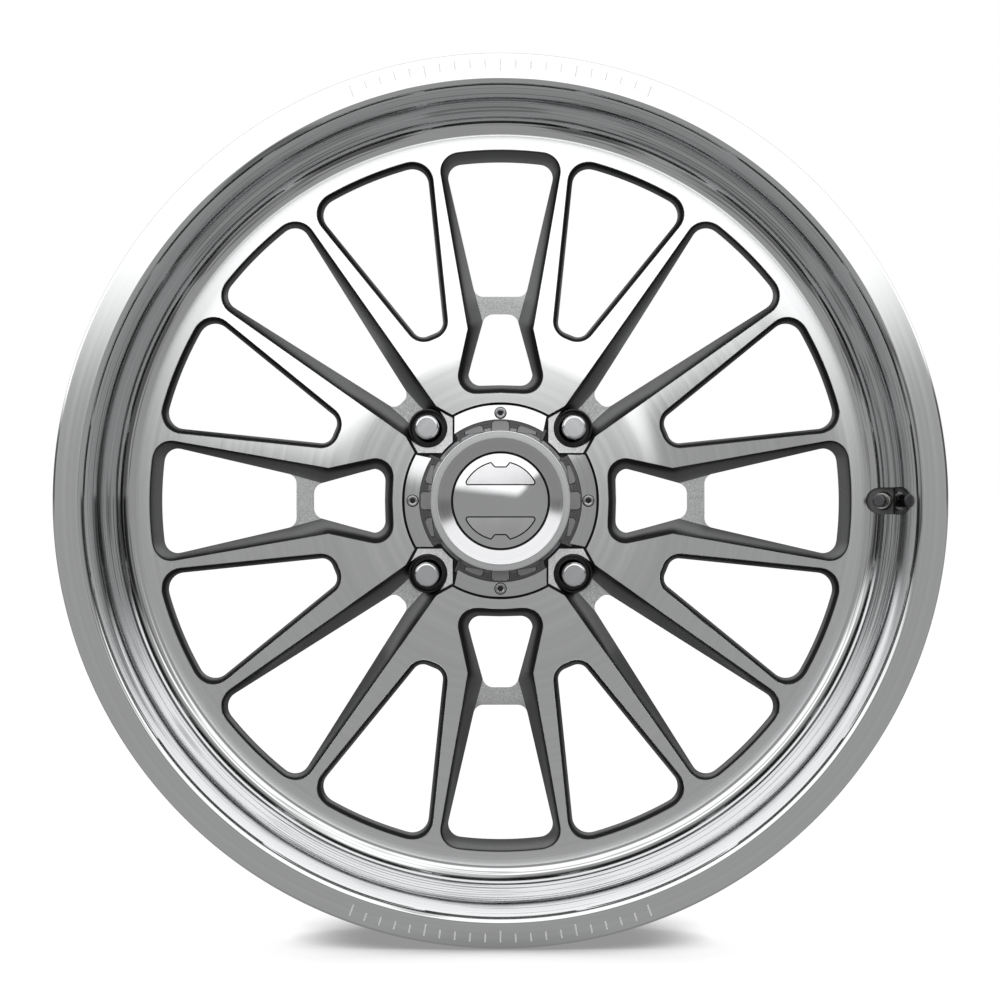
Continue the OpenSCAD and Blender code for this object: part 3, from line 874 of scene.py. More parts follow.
def step_wall(shape, top, floor, top_z, floor_z, start_bulge=0.0):
    """The milled wall from the machined face's edge, down and round to the pocket's floor.
    start_bulge is the radius of a round boss that the wall's first end wraps."""
    chamfer = bpy.context.scene.rim_sizes.edge_break / MM
    rows = [[(x, y, top_z(hypot(x, y))) for x, y in top]]
    turns = [0, 8, 18, 30, 42, 54, 66, 78, 90]
    for turn in turns:
        share = 1 - cos(radians(turn))
        row = []
        for i, (a, b) in enumerate(zip(top, floor)):
            step = Vector(b) - Vector(a)
            edge = Vector(a) + step.normalized() * chamfer
            at = edge + (Vector(b) - edge) * share
            if start_bulge and i < 5:
                at += boss_bulge(step, share, start_bulge) * (1 - i / 5)
            high = top_z(hypot(*a)) - chamfer
            low = floor_z(hypot(*b))
            row.append((at.x, at.y, high - (high - low) * sin(radians(turn))))
        rows.append(row)
    shape.loft(rows, [FACED] + [MILLED] * (len(rows) - 2))


def boss_bulge(chord, share, r):
    """How far a circle of radius r stands off its chord, at a share of the chord's length."""
    half = chord.length / 2
    at = (share - 0.5) * chord.length
    off = sqrt(r * r - at * at) - sqrt(r * r - half * half)
    return Vector((-chord.y, chord.x)).normalized() * off


def through_wall(shape, edge, back, floor_z):
    """The wall of a hole, from its edge in the pocket's floor to the rear face."""
    top = [(x, y, floor_z(hypot(x, y))) for x, y in edge]
    low = [(x, y, back_height(hypot(x, y))) for x, y in back]
    shape.loft([top, low], MILLED)


def narrow_window(shape, low_z):
    """One narrow window between two spokes, along +x. Returns its two outlines."""
    face = joined(*half_window(131.9, 12.9, NARROW_SLOPE, RING_IN_R, 14.5, 17))
    hole = joined(*half_window(137, 9.9, NARROW_SLOPE, 267, 8.5, 13))
    back = joined(*half_window(136.6, 10.2, NARROW_SLOPE, 269.6, 8.8, 13.5))
    for side in (1, -1):
        rows = [[(x, y * side) for x, y in row] for row in (face, hole, back)]
        step_wall(shape, rows[0], rows[1], face_height, low_z)
        through_wall(shape, rows[1], rows[2], low_z)
    return [row + mirrored(row)[1:-1] for row in (face, back)]


def wide_window(shape, low_z):
    """Half of the wide pocket along +x, with its outer window, its bridge and its small window.
    Returns the outlines on the front and the back, from the middle line round to it again."""
    bow = [(81.4 - 0.044 * y - 0.0006 * y * (20 - y), y) for y in (0, 4, 8, 12, 16, 20)]
    bend = corner(bow[-1], (79.8, 35.75), (130.1, 25), 13.8, 10)
    low_side = line(bend[-1], (130.1, 25), 8)
    mid_side = line((130.1, 25), (161.4, 25 + WIDE_SLOPE * 31.3), 8)
    side, end = outer_side(mid_side[-1], 25 - WIDE_SLOPE * 130.1, WIDE_SLOPE, RING_IN_R, 15.5)
    bow = bow[:-1] + [bend[0]]
    face = joined(bow, bend, low_side, mid_side, side, end)

    def small_hole(grow, far_grow=0.0):
        foot = (87.4 - grow, 27.4 + grow)
        top = (142.3 + far_grow, 11.7 + grow)
        low = corner((88.1 - grow, 0), foot, top, 9, 10)
        high = corner(foot, top, (top[0], 0), 8.5, 8)
        near = joined(line((88.1 - grow, 0), low[0], 5), low, line(low[-1], high[0], 8))
        return near, joined(high, line(high[-1], (top[0], 0), 4))

    near, far = small_hole(0)
    inner, side, end = half_window(155.5, 19.1, WIDE_HOLE_SLOPE, 262, 7.6, 10.6, 4)
    bridge = line(near[-1], inner[-1], 8)
    floor = joined(near, bridge, side, end)
    step_wall(shape, face, floor, face_height, low_z)
    outer_hole = joined(inner, side, end)
    outer_back = joined(*half_window(155, 19.4, WIDE_HOLE_SLOPE, 264.6, 7.6, 10.6, 4))
    through_wall(shape, outer_hole, outer_back, low_z)
    small_back = joined(*small_hole(0.3, 2.2))
    through_wall(shape, joined(near, far), small_back, low_z)
    deck = joined(bridge, list(reversed(inner)), list(reversed(far)))
    flat, faces = filled(deck[:-1] if deck[0] == deck[-1] else deck, spacing=3, clearance=1)
    shape.add(raised(flat, low_z), faces, FLOOR)
    return face, small_back, outer_back


def channel_slope():
    """The diagonal pocket's side as (height at x = 0, slope)."""
    return KNEE[1] - CHANNEL_SLOPE * KNEE[0], CHANNEL_SLOPE


def boss_radius():
    """The lug hole just touches the diagonal pocket's sides."""
    base, slope = channel_slope()
    return (base + slope * LUG_R) / sqrt(1 + slope * slope)


def diagonal_window(shape, low_z):
    """Half of the pocket along +x that runs from a lug hole to its window, on the +y side.
    Returns the outlines on the front and the back."""
    base, slope = channel_slope()
    boss = boss_radius()
    lean = atan(slope)
    touch = (LUG_R - boss * sin(lean), boss * cos(lean))
    first = joined(
        line(touch, KNEE, KNEE_STEPS), line(KNEE, (111.3, base + slope * 111.3), 8))
    side, end = outer_side(first[-1], base, slope, RING_IN_R, 17)
    face = joined(first, side, end)
    half = FLOOR_HALF
    foot = (LUG_R + sqrt(boss * boss - half * half), half)
    inner, hole_side, hole_end = half_window(105.8, 7.3, DIAGONAL_HOLE_SLOPE, 267, 7, 12)
    lane = joined(line(foot, (foot[0] + 5, half), 4), line((foot[0] + 5, half), inner[-1], 8))
    floor = joined(lane, hole_side, hole_end)
    step_wall(shape, face, floor, face_height, low_z, start_bulge=boss)
    hole = joined(inner, hole_side, hole_end)
    back = joined(*half_window(105.4, 7.6, DIAGONAL_HOLE_SLOPE, 269.6, 7.3, 12))
    through_wall(shape, hole, back, low_z)
    around = arc((LUG_R, 0), boss, 0, asin(half / boss), 4)
    middle = line(inner[0], around[0], 5)
    deck = joined(lane, list(reversed(inner)), middle, around)
    flat, faces = filled(deck[:-1], spacing=3, clearance=1)
    shape.add(raised(flat, low_z), faces, FLOOR)
    return face, back, touch, around


def from_diagonal(points):
    """From the diagonal pocket's own half, mirrored and turned into the first eighth."""
    return turned([(x, -y) for x, y in points], EIGHTH)


def lug_surroundings(shape, touch, around):
    """The blasted plate round a lug hole, the groove that borders it, and the hole. The groove, the
    recess under the cap and their walls carry a near-black painted shade.
    """
    boss = boss_radius()
    lug = (LUG_R * cos(EIGHTH), LUG_R * sin(EIGHTH))
    knee = from_diagonal([KNEE])[0]
    touch = from_diagonal([touch])[0]
    ear_corner = (sqrt(RECESS_R**2 - RECESS_HALF**2), RECESS_HALF)
    groove = 2.1
    along = (Vector(knee) - Vector(ear_corner)).normalized()
    inward = Vector((-along.y, along.x))
    plate_start = Vector(ear_corner) + inward * groove
    low_end = plate_start - along * (plate_start.y - RECESS_HALF) / along.y
    high_end = meeting(plate_start, along, Vector(touch), Vector(knee) - Vector(touch))
    gap_end = (sqrt(HOUSING_GAP_R**2 - RECESS_HALF**2), RECESS_HALF)
    gap_turn = asin(RECESS_HALF / HOUSING_GAP_R)
    housing = arc((0, 0), HOUSING_GAP_R, EIGHTH, gap_turn, 6)
    start = EIGHTH + pi
    end = atan2(touch[1] - lug[1], touch[0] - lug[0])
    end += 2 * pi if end < 0 else 0
    hole_inner = arc(lug, boss, start, end, 22)
    plate = joined(
        housing, line(gap_end, tuple(low_end), 5), line(tuple(low_end), tuple(high_end), 6),
        line(tuple(high_end), touch, 3), list(reversed(hole_inner)))
    flat, faces = filled(plate, spacing=4, clearance=1.2)
    shape.add(raised(flat, PLATE_Z), faces, PLATE)
    groove_z = CHANNEL_Z + 0.6
    outer = line(ear_corner, knee, 6)
    inner = line(tuple(low_end), tuple(high_end), 6)
    shape.loft([raised(outer, HUB_Z), raised(outer, groove_z), raised(inner, groove_z),
                raised(inner, PLATE_Z)], [MILLED, PAINTED_SHADE, MILLED])
    edge = joined(housing, line(gap_end, tuple(low_end), 5))
    shape.loft([raised(edge, PLATE_Z), raised(edge, BASE_FLOOR_Z)], PAINTED_SHADE)
    short = [tuple(low_end), ear_corner]
    shape.loft([raised(short, groove_z), raised(short, BASE_FLOOR_Z)], PAINTED_SHADE)
    outer_arc = arc((0, 0), RECESS_R, asin(RECESS_HALF / RECESS_R), 0, 12)
    shape.loft([raised(outer_arc, HUB_Z), raised(outer_arc, BASE_FLOOR_Z)], PAINTED_SHADE)
    recess = joined(edge, [tuple(low_end), ear_corner], outer_arc,
                    [(RECESS_R, 0), (CAP_BORE_R, 0)], arc((0, 0), CAP_BORE_R, 0, EIGHTH, 10))
    flat, faces = filled(recess, spacing=6, clearance=1.5)
    shape.add(raised(flat, BASE_FLOOR_Z), faces, PAINTED_SHADE)
    tight = [touch] + [tuple(high_end)]
    shape.loft([raised(tight, PLATE_Z), raised(tight, groove_z)], MILLED)
    wedge = [tuple(high_end), knee]
    shape.loft([raised(wedge, HUB_Z), raised(wedge, groove_z)], MILLED)
    return lug_hole(shape, lug, end, hole_inner, around), outer_arc, ear_corner, knee


def lug_hole(shape, lug, end, hole_inner, around):
    """The hole's wall below the plate and below the pocket, and the stud's bore through it.
    Returns the bore's outline."""
    boss = boss_radius()
    shared = list(reversed(from_diagonal(around)))
    shared_start = EIGHTH + 2 * pi - asin(FLOOR_HALF / boss)
    channel_arc = joined(arc(lug, boss, end, shared_start, 8), shared)
    shape.loft([raised(hole_inner, PLATE_Z), raised(hole_inner, INSERT_Z)], MILLED)
    shape.loft([raised(channel_arc, CHANNEL_Z), raised(channel_arc, INSERT_Z)], MILLED)
    rim = joined(hole_inner, channel_arc)
    stud = [
        tuple(Vector(lug) + (Vector(p) - Vector(lug)) * STUD_HOLE_R / boss) for p in rim]
    shape.loft([raised(rim, INSERT_Z), raised(stud, INSERT_Z), raised(stud, 0)], MILLED)
    return stud


def meeting(a, along_a, b, along_b):
    """Where the line from a along along_a meets the line from b along along_b."""
    cross = along_a.x * along_b.y - along_a.y * along_b.x
    gap = b - a
    return a + along_a * (gap.x * along_b.y - gap.y * along_b.x) / cross


def centre_eighth():
    """The centre's first eighth, from the middle of a wide window to a lug hole's diagonal."""
    shape = Shape()
    depth = bpy.context.scene.rim_sizes.pocket_depth / MM

    def low_z(limit):
        return lambda r: min(limit, face_height(r) - depth)

    wide_face, small_back, wide_back = wide_window(shape, low_z(BRIDGE_Z))
    part = Shape()
    narrow_face, narrow_back = narrow_window(part, lambda r: face_height(r) - depth * 1.5)
    shape.join(part.moved(Matrix.Rotation(EIGHTH / 2, 4, "Z")))
    narrow_face = turned(narrow_face, EIGHTH / 2)
    narrow_back = turned(narrow_back, EIGHTH / 2)
    part = Shape()
    diagonal_face, diagonal_back, touch, around = diagonal_window(part, low_z(CHANNEL_Z))
    mirror = Matrix.Rotation(EIGHTH, 4, "Z") @ Matrix.Scale(-1, 4, (0, 1, 0))
    shape.join(part.moved(mirror, flip=True))
    diagonal_face = from_diagonal(diagonal_face)
    diagonal_back = from_diagonal(diagonal_back)
    stud, outer_arc, ear_corner, knee = lug_surroundings(shape, touch, around)
    front = joined(
        line((RECESS_R, 0), wide_face[0], 2), wide_face,
        line(wide_face[-1], (CENTRE_R, 0), 2), arc((0, 0), CENTRE_R, 0, EIGHTH, 48),
        line(turned([(CENTRE_R, 0)], EIGHTH)[0], diagonal_face[-1], 2),
        list(reversed(diagonal_face[KNEE_STEPS:])), list(reversed(line(ear_corner, knee, 6))),
        outer_arc)
    flat, faces = filled(front[:-1], [narrow_face], spacing=7, rings=[RING_IN_R])
    shape.add(raised(flat, face_height), faces, FACED)
    pilot = arc((0, 0), PILOT_R, EIGHTH, 0, 12)
    rear = joined(
        [(PILOT_R, 0)], small_back, wide_back,
        line(wide_back[-1], (CENTRE_R, 0), 2), arc((0, 0), CENTRE_R, 0, EIGHTH, 48),
        list(reversed(diagonal_back)), list(reversed(stud)), pilot)
    flat, faces = filled(rear[:-1], [narrow_back], spacing=5, clearance=1.6)
    shape.add(raised(flat, back_height), faces, BACK)
    rim = arc((0, 0), CENTRE_R, 0, EIGHTH, 48)
    shape.loft([raised(rim, RING_Z), raised(rim, CENTRE_BACK_Z)], BACK)
    bore = arc((0, 0), CAP_BORE_R, 0, EIGHTH, 10)
    wide_bore = arc((0, 0), PILOT_R, 0, EIGHTH, 12)
    shape.loft([raised(bore, BASE_FLOOR_Z), raised(bore, PILOT_Z)], BACK)
    ledge = joined(bore, list(reversed(wide_bore)))
    flat, faces = filled(ledge, spacing=6, clearance=2)
    shape.add(raised(flat, PILOT_Z), faces, BACK)
    shape.loft([raised(wide_bore, PILOT_Z), raised(wide_bore, 0)], BACK)
    return shape


class RIM_OT_spoked_centre(bpy.types.Operator):
    """Build the machined centre with its spokes, milled pockets and blasted floors"""

    bl_idname = "rim.spoked_centre"
    bl_label = "Spoked centre"

    def execute(self, context):
        eighth = centre_eighth()
        whole = Shape()
        for quarter in range(4):
            turn = Matrix.Rotation(quarter * pi / 2, 4, "Z")
            whole.join(eighth.moved(turn))
            whole.join(eighth.moved(turn @ Matrix.Scale(-1, 4, (0, 1, 0)), flip=True))
        kinds = ("faced", "milled", "blasted", "bright blasted", "back", "dark gap")
        piece = whole.make("spoked_centre_body", [finish_named(kind) for kind in kinds])
        smooth_face(piece.data)
        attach(piece, "wheel")
        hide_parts("spoked_centre")
        return {"FINISHED"}


def smooth_face(mesh):
    """Gives the machined face the turned surface's own normals, so that it shades evenly."""
    normals = [tuple(corner_normal.vector) for corner_normal in mesh.corner_normals]
    chamfer = 0.97
    for face in mesh.polygons:
        if face.material_index != FACED or -face.normal.y < chamfer:
            continue
        middle = hypot(face.center.x, face.center.z) / MM
        for loop in face.loop_indices:
            spot = mesh.vertices[mesh.loops[loop].vertex_index].co
            r = hypot(spot.x, spot.z)
            at = r / MM
            if middle < RING_IN_R:
                at = min(at, RING_IN_R - 0.001)
            else:
                at = max(at, RING_IN_R + 0.001)
            out, ahead = face_normal(at)
            normals[loop] = (out * spot.x / r, -ahead, out * spot.z / r)
    mesh.normals_split_custom_set(normals)


# ---------------------------------------------------------------- lug seats and nuts


class RIM_OT_lug_hardware(bpy.types.Operator):
    """Make the four pressed-in lug seats and the four splined lug nuts"""

    bl_idname = "rim.lug_hardware"
    bl_label = "Lug seats and nuts"

    def execute(self, context):
        seats = Shape()
        seat = Shape()
        inner_r = SEAT_INSERT_R - 1.2
        top = PLATE_Z - 0.5
        cone_r = 9.9
        cone_z = INSERT_Z + (cone_r - STUD_HOLE_R) / tan(pi / 6)
        seat.lathe([
            (STUD_HOLE_R, INSERT_Z), (cone_r, cone_z), (cone_r + 0.4, cone_z + 0.3),
            (inner_r - 0.3, cone_z + 0.3), (inner_r, cone_z + 0.6), (inner_r, top - 0.5),
            (inner_r + 0.15, top - 0.15), (inner_r + 0.5, top), (SEAT_INSERT_R - 0.5, top),
            (SEAT_INSERT_R - 0.15, top - 0.15), (SEAT_INSERT_R, top - 0.5),
            (SEAT_INSERT_R, INSERT_Z), (STUD_HOLE_R, INSERT_Z)], 96)
        for number in range(4):
            seats.join(seat.moved(lug_place(number)))
        piece = seats.make("pressed_seats", [finish_named("black steel")])
        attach(piece, "wheel")
        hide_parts("lug_seats")
        for number in range(4):
            nut = lug_nut().make(
                f"splined_nut_{number + 1}",
                [finish_named("plated"), finish_named("nut top"), finish_named("black steel")],
                place=lug_place(number))
            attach(nut, f"nut_{number + 1}")
            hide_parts(f"lug_nut_{number + 1}")
        return {"FINISHED"}


def lug_place(number):
    turn = Matrix.Rotation(EIGHTH + number * pi / 2, 4, "Z")
    return turn @ Matrix.Translation((LUG_R, 0, 0))


def lug_nut():
    """A closed splined nut: cone, fluted body, rounded shoulder and flat top."""
    r = 9.1
    tip_r = 7.05
    tip_z = INSERT_Z + 1.2
    cone_end = tip_z + (r - tip_r) / tan(pi / 6)
    flute_top = NUT_TOP_Z - 5.5

    def fluted(turn, at, z):
        if at < r - 0.01 or not cone_end + 4 < z < flute_top + 0.1:
            return at
        return at - 0.7 * max(0, cos(turn * 8)) ** 3

    shoulder = [
        (r - 2 + 2 * x, NUT_TOP_Z - 2.2 + 2.2 * z) for x, z in arc((0, 0), 1, 0, pi / 2, 8)]
    profile = joined(
        [(5.4, tip_z), (tip_r, tip_z), (r, cone_end), (r, cone_end + 4.1), (r, cone_end + 6)],
        line((r, cone_end + 6), (r, flute_top), 4), [(r, flute_top + 1.2)], shoulder,
        [(0, NUT_TOP_Z)])
    slots = [0] * (len(profile) - 2) + [1, 2, 2, 2]
    profile += [(0, 41), (5.4, 38), (5.4, tip_z)]
    nut = Shape()
    nut.lathe(profile, 96, slots, radius=fluted)
    return nut


# ---------------------------------------------------------------- the hub cap

SPIGOT_R = 45.9
BASE_TOP_Z = 27
EMBLEM_R = 35.4
EMBLEM_SEAT_Z = CAP_TOP_Z - 10.5
SCREW_AT = 66.4


class RIM_OT_hub_cap(bpy.types.Operator):
    """Build the hub cap: its base, its housing, the plain domed plate and the four screws"""

    bl_idname = "rim.hub_cap"
    bl_label = "Hub cap"

    def execute(self, context):
        parts = [
            (cap_base(), "cap_base_plate", "cap_base", "polished_aluminium"),
            (cap_housing(), "cap_turned_housing", "cap_housing", "machined_aluminium"),
            (cap_plate(), "cap_domed_plate", "cap_emblem", "polished_aluminium"),
            (cap_screws(), "cap_socket_screws", "cap_screws", "dark_steel"),
        ]
        for (shape, finishes), name, node, slot in parts:
            piece = shape.make(name, [finish_named(kind) for kind in finishes], sharp=18)
            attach(piece, "wheel")
            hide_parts(node)
        return {"FINISHED"}


def cap_housing():
    """The turned housing: an outer wall, a flat ring, and a funnel down to the plate."""
    rim_r = 45.9
    bevel_r = EMBLEM_R + 1.1
    bevel_z = CAP_TOP_Z - 4.7
    shape = Shape()
    profile = [
        (40, SPIGOT_END_Z), (SPIGOT_R - 0.3, SPIGOT_END_Z), (SPIGOT_R, SPIGOT_END_Z + 0.3),
        (SPIGOT_R, 22.2), (SPIGOT_R - 1.5, 22.2), (SPIGOT_R - 1.5, 23.8), (SPIGOT_R, 23.8),
        (SPIGOT_R, BASE_TOP_Z), (CAP_R, BASE_TOP_Z), (CAP_R, CAP_TOP_Z - 0.5),
    ]
    edge = arc((CAP_R - 0.5, CAP_TOP_Z - 0.5), 0.5, 0, pi / 2, 5)
    ring = [(rim_r + 0.5, CAP_TOP_Z), (rim_r + 0.15, CAP_TOP_Z - 0.08), (rim_r, CAP_TOP_Z - 0.3)]
    inside = [
        (bevel_r + 0.3, bevel_z + 0.1), (bevel_r, bevel_z - 0.3), (bevel_r, EMBLEM_SEAT_Z),
        (EMBLEM_R - 3, EMBLEM_SEAT_Z), (EMBLEM_R - 3, EMBLEM_SEAT_Z - 4),
        (46, EMBLEM_SEAT_Z - 8), (46, BASE_TOP_Z + 6), (40, BASE_TOP_Z + 1), (40, SPIGOT_END_Z),
    ]
    outer = joined(profile, edge)
    whole = joined(outer, ring, inside)
    # The inside below the funnel, behind the plate, carries painted shade (slot 3).
    slots = [0] * (len(outer) - 1) + [1] + [0] * 2 + [2] + [0] + [3] * (len(inside) - 2)
    shape.lathe(whole, 256, slots)
    return shape, ("cap side", "cap ring", "cap funnel", "dark gap")


def cap_plate():
    """The domed plate with two blasted pockets, each with a notch in its rounded side and a narrow
    groove round it whose near-black colour is painted shade.
    """
    rise = 4.2
    edge_z = EMBLEM_SEAT_Z + 2.2
    dome_r = (EMBLEM_R**2 + rise**2) / (2 * rise)

    def dome(r):
        return edge_z + rise - dome_r + sqrt(max(0, dome_r**2 - r * r))

    depth = 0.5
    shape = Shape()
    half = pocket_half()
    pockets = [half + mirrored_across(half)[1:-1]]
    pockets.append([(-x, -y) for x, y in pockets[0]])
    shoulder = 0.5
    rim = arc((0, 0), EMBLEM_R - shoulder, 0, 2 * pi, 160)[:-1]
    flat, faces = filled(rim, pockets, spacing=3, clearance=0.9)
    shape.add(raised(flat, dome), faces, 0)
    edge = arc((0, 0), EMBLEM_R, 0, 2 * pi, 160)[:-1]
    low = dome(EMBLEM_R) - shoulder
    shape.loft([raised(rim, dome), raised(edge, low), raised(edge, EMBLEM_SEAT_Z)], 0, closed=True)
    shape.add(raised(edge, EMBLEM_SEAT_Z), [tuple(reversed(range(len(edge))))], 0)
    for pocket in pockets:
        groove = shrunk(pocket, 0.5)
        inner = shrunk(pocket, 0.95)
        sunk = [(x, y, dome(hypot(x, y)) - depth * 1.6) for x, y in groove]
        floor = [(x, y, dome(hypot(x, y)) - depth) for x, y in inner]
        # The groove round the pocket gets slot 2, a near-black painted shade.
        shape.loft([raised(pocket, dome), sunk, floor], [2, 2], closed=True)
        flat, faces = filled(inner, spacing=3, clearance=0.9)
        shape.add([(x, y, dome(hypot(x, y)) - depth) for x, y in flat], faces, 1)
    return shape, ("mirror plate", "plate pocket", "groove shade")


def pocket_half():
    """Half of the upper pocket's outline, from the notch's middle to the straight side's."""
    notch_z, base_y, round_r, pocket_r = 25.4, 11.4, 2.2, 29.5
    shoulder = (6.8, sqrt(pocket_r**2 - 6.8**2))
    notch = line((0, notch_z), (3.9, notch_z), 3)
    flank = line((3.9, notch_z), shoulder, 3)
    mid_r = pocket_r - round_r
    mid = (sqrt(mid_r**2 - (base_y + round_r) ** 2), base_y + round_r)
    first = atan2(shoulder[1], shoulder[0])
    outer = arc((0, 0), pocket_r, first, atan2(mid[1], mid[0]), 16)
    rounding = arc(mid, round_r, atan2(mid[1], mid[0]), -pi / 2, 7)
    return joined(notch, flank, outer, rounding, line(rounding[-1], (0, base_y), 6))


def shrunk(outline, by):
    """A closed outline with each point moved inwards by that much, square to its neighbours."""
    area = sum(a[0] * b[1] - b[0] * a[1] for a, b in zip(outline, outline[1:] + outline[:1]))
    inward = 1 if area > 0 else -1
    points = []
    for i, (x, y) in enumerate(outline):
        before, after = outline[i - 1], outline[(i + 1) % len(outline)]
        along = Vector(after) - Vector(before)
        side = Vector((-along.y, along.x)).normalized() * inward * by
        points.append((x + side.x, y + side.y))
    return points


def mirrored_across(points):
    return [(-x, y) for x, y in reversed(points)]


def ear_outline(outer, half, inner):
    """An ear's face along +x: between two radii, and cut off at both sides."""
    wide = asin(half / outer)
    tight = asin(half / inner)
    return joined(arc((0, 0), outer, -wide, wide, 24), arc((0, 0), inner, tight, -tight, 24))[:-1]


def prism(shape, outline, low, high, slot, side_slot, chamfer=0.0):
    """A flat-topped block on outline, with its top edge chamfered by moving it to the middle."""
    middle = Vector((0, 0))
    for p in outline:
        middle += Vector(p) / len(outline)
    top = [tuple(Vector(p) + (middle - Vector(p)).normalized() * chamfer) for p in outline]
    shape.loft([raised(outline, low), raised(outline, high - chamfer), raised(top, high)],
               [side_slot, slot], closed=True)
    flat, faces = filled(top)
    shape.add(raised(flat, high), faces, slot)
    flat, faces = filled(outline)
    shape.add(raised(flat, low), faces, side_slot)


def cap_base():
    """The base under the housing: four polished ears, stepped arcs, tabs, pads and wedges, whose
    sides, floor and screw holes carry a near-black painted shade.
    """
    ear_r, ear_half, ear_in = 72.8, 35, 61.4
    floor_r = 56.1
    ears_z = HUB_Z
    shape = Shape()
    plate = Shape()
    plate.lathe([
        (SPIGOT_R + 0.05, BASE_FLOOR_Z), (floor_r, BASE_FLOOR_Z), (floor_r, BASE_TOP_Z + 2),
        (floor_r - 0.3, BASE_TOP_Z + 2.2), (CAP_R + 0.4, BASE_TOP_Z), (SPIGOT_R + 0.05, BASE_TOP_Z),
        (SPIGOT_R + 0.05, BASE_FLOOR_Z)], 192, [2, 2, 2, 1, 2, 2])
    shape.join(plate)
    for quarter in range(4):
        part = Shape()
        ear_with_screw_hole(part, ear_r, ear_half, ear_in, ears_z)
        steps = [(ear_in, ears_z - 1.6), (60.6, ears_z - 2.6), (58.9, ears_z - 3.8)]
        for (outer, high), inner in zip(steps, (60.6, 58.9, floor_r - 0.6)):
            half = min(ear_half, outer * 0.56)
            prism(part, ear_outline(outer + 0.05, half, inner), BASE_FLOOR_Z, high, 3, 2, 0.12)
        tab = [(CAP_R + 0.5, -6.9), (59.2, -6.9), (60.6, -5), (60.6, 5), (59.2, 6.9),
               (CAP_R + 0.5, 6.9)]
        prism(part, tab, BASE_FLOOR_Z, ears_z - 1.4, 1, 2, 0.5)
        for side in (1, -1):
            pad = [(CAP_R + 0.5, side * 12), (56.2, side * 13.2), (57.4, side * 16),
                   (56, side * 22), (53.3, side * 27.4), (CAP_R - 1.6, side * 27.4)]
            pad = pad if side > 0 else list(reversed(pad))
            prism(part, pad, BASE_FLOOR_Z, BASE_TOP_Z + 3.4, 1, 2, 0.6)
            web = [(46.2, side * 29.6), (54.6, side * 33.4), (53.2, side * 35), (44.6, side * 31.4)]
            web = web if side > 0 else list(reversed(web))
            prism(part, web, BASE_FLOOR_Z, ears_z - 1.2, 3, 2, 0.3)
        shape.join(part.moved(Matrix.Rotation(quarter * pi / 2, 4, "Z")))
    return shape, ("ear face", "base pads", "dark gap", "base steps")


def ear_with_screw_hole(part, ear_r, ear_half, ear_in, high):
    """One ear with the round recess and the clearance hole of its screw."""
    outline = ear_outline(ear_r, ear_half, ear_in)
    middle = Vector((68, 0))
    break_edge = 0.3
    top = [tuple(Vector(p) + (middle - Vector(p)).normalized() * break_edge) for p in outline]
    fall = 0.24

    def slope(r):
        return high - (r - ear_in) * fall

    def slope_edge(r):
        return slope(r) - break_edge

    def slope_hole(r):
        return slope(r) - 0.2

    part.loft([raised(outline, BASE_FLOOR_Z), raised(outline, slope_edge),
               raised(top, slope)], [2, 0], closed=True)
    hole = arc((SCREW_AT, 0), 4.7, 0, 2 * pi, 40)[:-1]
    inset = arc((SCREW_AT, 0), 4.5, 0, 2 * pi, 40)[:-1]
    narrow = arc((SCREW_AT, 0), 2.7, 0, 2 * pi, 40)[:-1]
    recess_z = high - 6
    flat, faces = filled(top, [hole], spacing=4, clearance=0.8)
    part.add(raised(flat, slope), faces, 0)
    part.loft([raised(hole, slope), raised(inset, slope_hole), raised(inset, recess_z),
               raised(narrow, recess_z), raised(narrow, BASE_FLOOR_Z)], 2, closed=True)
    flat, faces = filled(outline, [narrow], spacing=6, clearance=0.8)
    part.add(raised(flat, BASE_FLOOR_Z), faces, 2)


def cap_screws():
    """Four button-edged cap screws with hexagon sockets, whose walls and floors carry painted
    shade.
    """
    head_r, socket = 4.25, 2.31
    low, high, end = HUB_Z - 6, HUB_Z - 1, 14.5
    sides = 60
    screw = Shape()
    profile = joined(
        [(0, end), (2, end), (2.45, end + 0.5), (2.45, low), (head_r, low), (head_r, high - 0.7)],
        arc((head_r - 0.7, high - 0.7), 0.7, 0, pi / 2, 4), [(3.1, high), (2.95, high - 0.15)])
    screw.lathe(profile, sides, 0)

    def hexagon(turn, r, z):
        third = (turn + pi / 6) % (pi / 3) - pi / 6
        return r if z > high - 0.2 else min(2.95, socket * cos(pi / 6) / cos(third))

    screw.lathe([(2.95, high - 0.15), (2.3, high - 0.4), (2.3, high - 2.5)], sides, [0, 1],
                radius=hexagon)
    floor = [(hexagon(2 * pi * i / sides, 0, 0), 2 * pi * i / sides) for i in range(sides)]
    screw.add([(r * cos(t), r * sin(t), high - 2.5) for r, t in floor], [tuple(range(sides))], 1)
    shape = Shape()
    for quarter in range(4):
        turn = Matrix.Rotation(quarter * pi / 2, 4, "Z")
        shape.join(screw.moved(turn @ Matrix.Translation((SCREW_AT, 0, 0))))
    return shape, ("screw head", "dark gap")


# ---------------------------------------------------------------- small pieces kept from the frame

KEPT = {
    "cap_o_ring": "rubber",
    "cap_snap_ring": "spring",
    "valve_stem": "nickel",
    "valve_grommet": "rubber",
    "valve_washer": "nickel",
    "valve_nut": "nickel",
    "valve_core_body": "brass",
    "valve_core_pin": "brass",
    "valve_core_seal": "rubber",
    "valve_core_spring": "spring",
    "valve_cap_seal": "rubber",
}


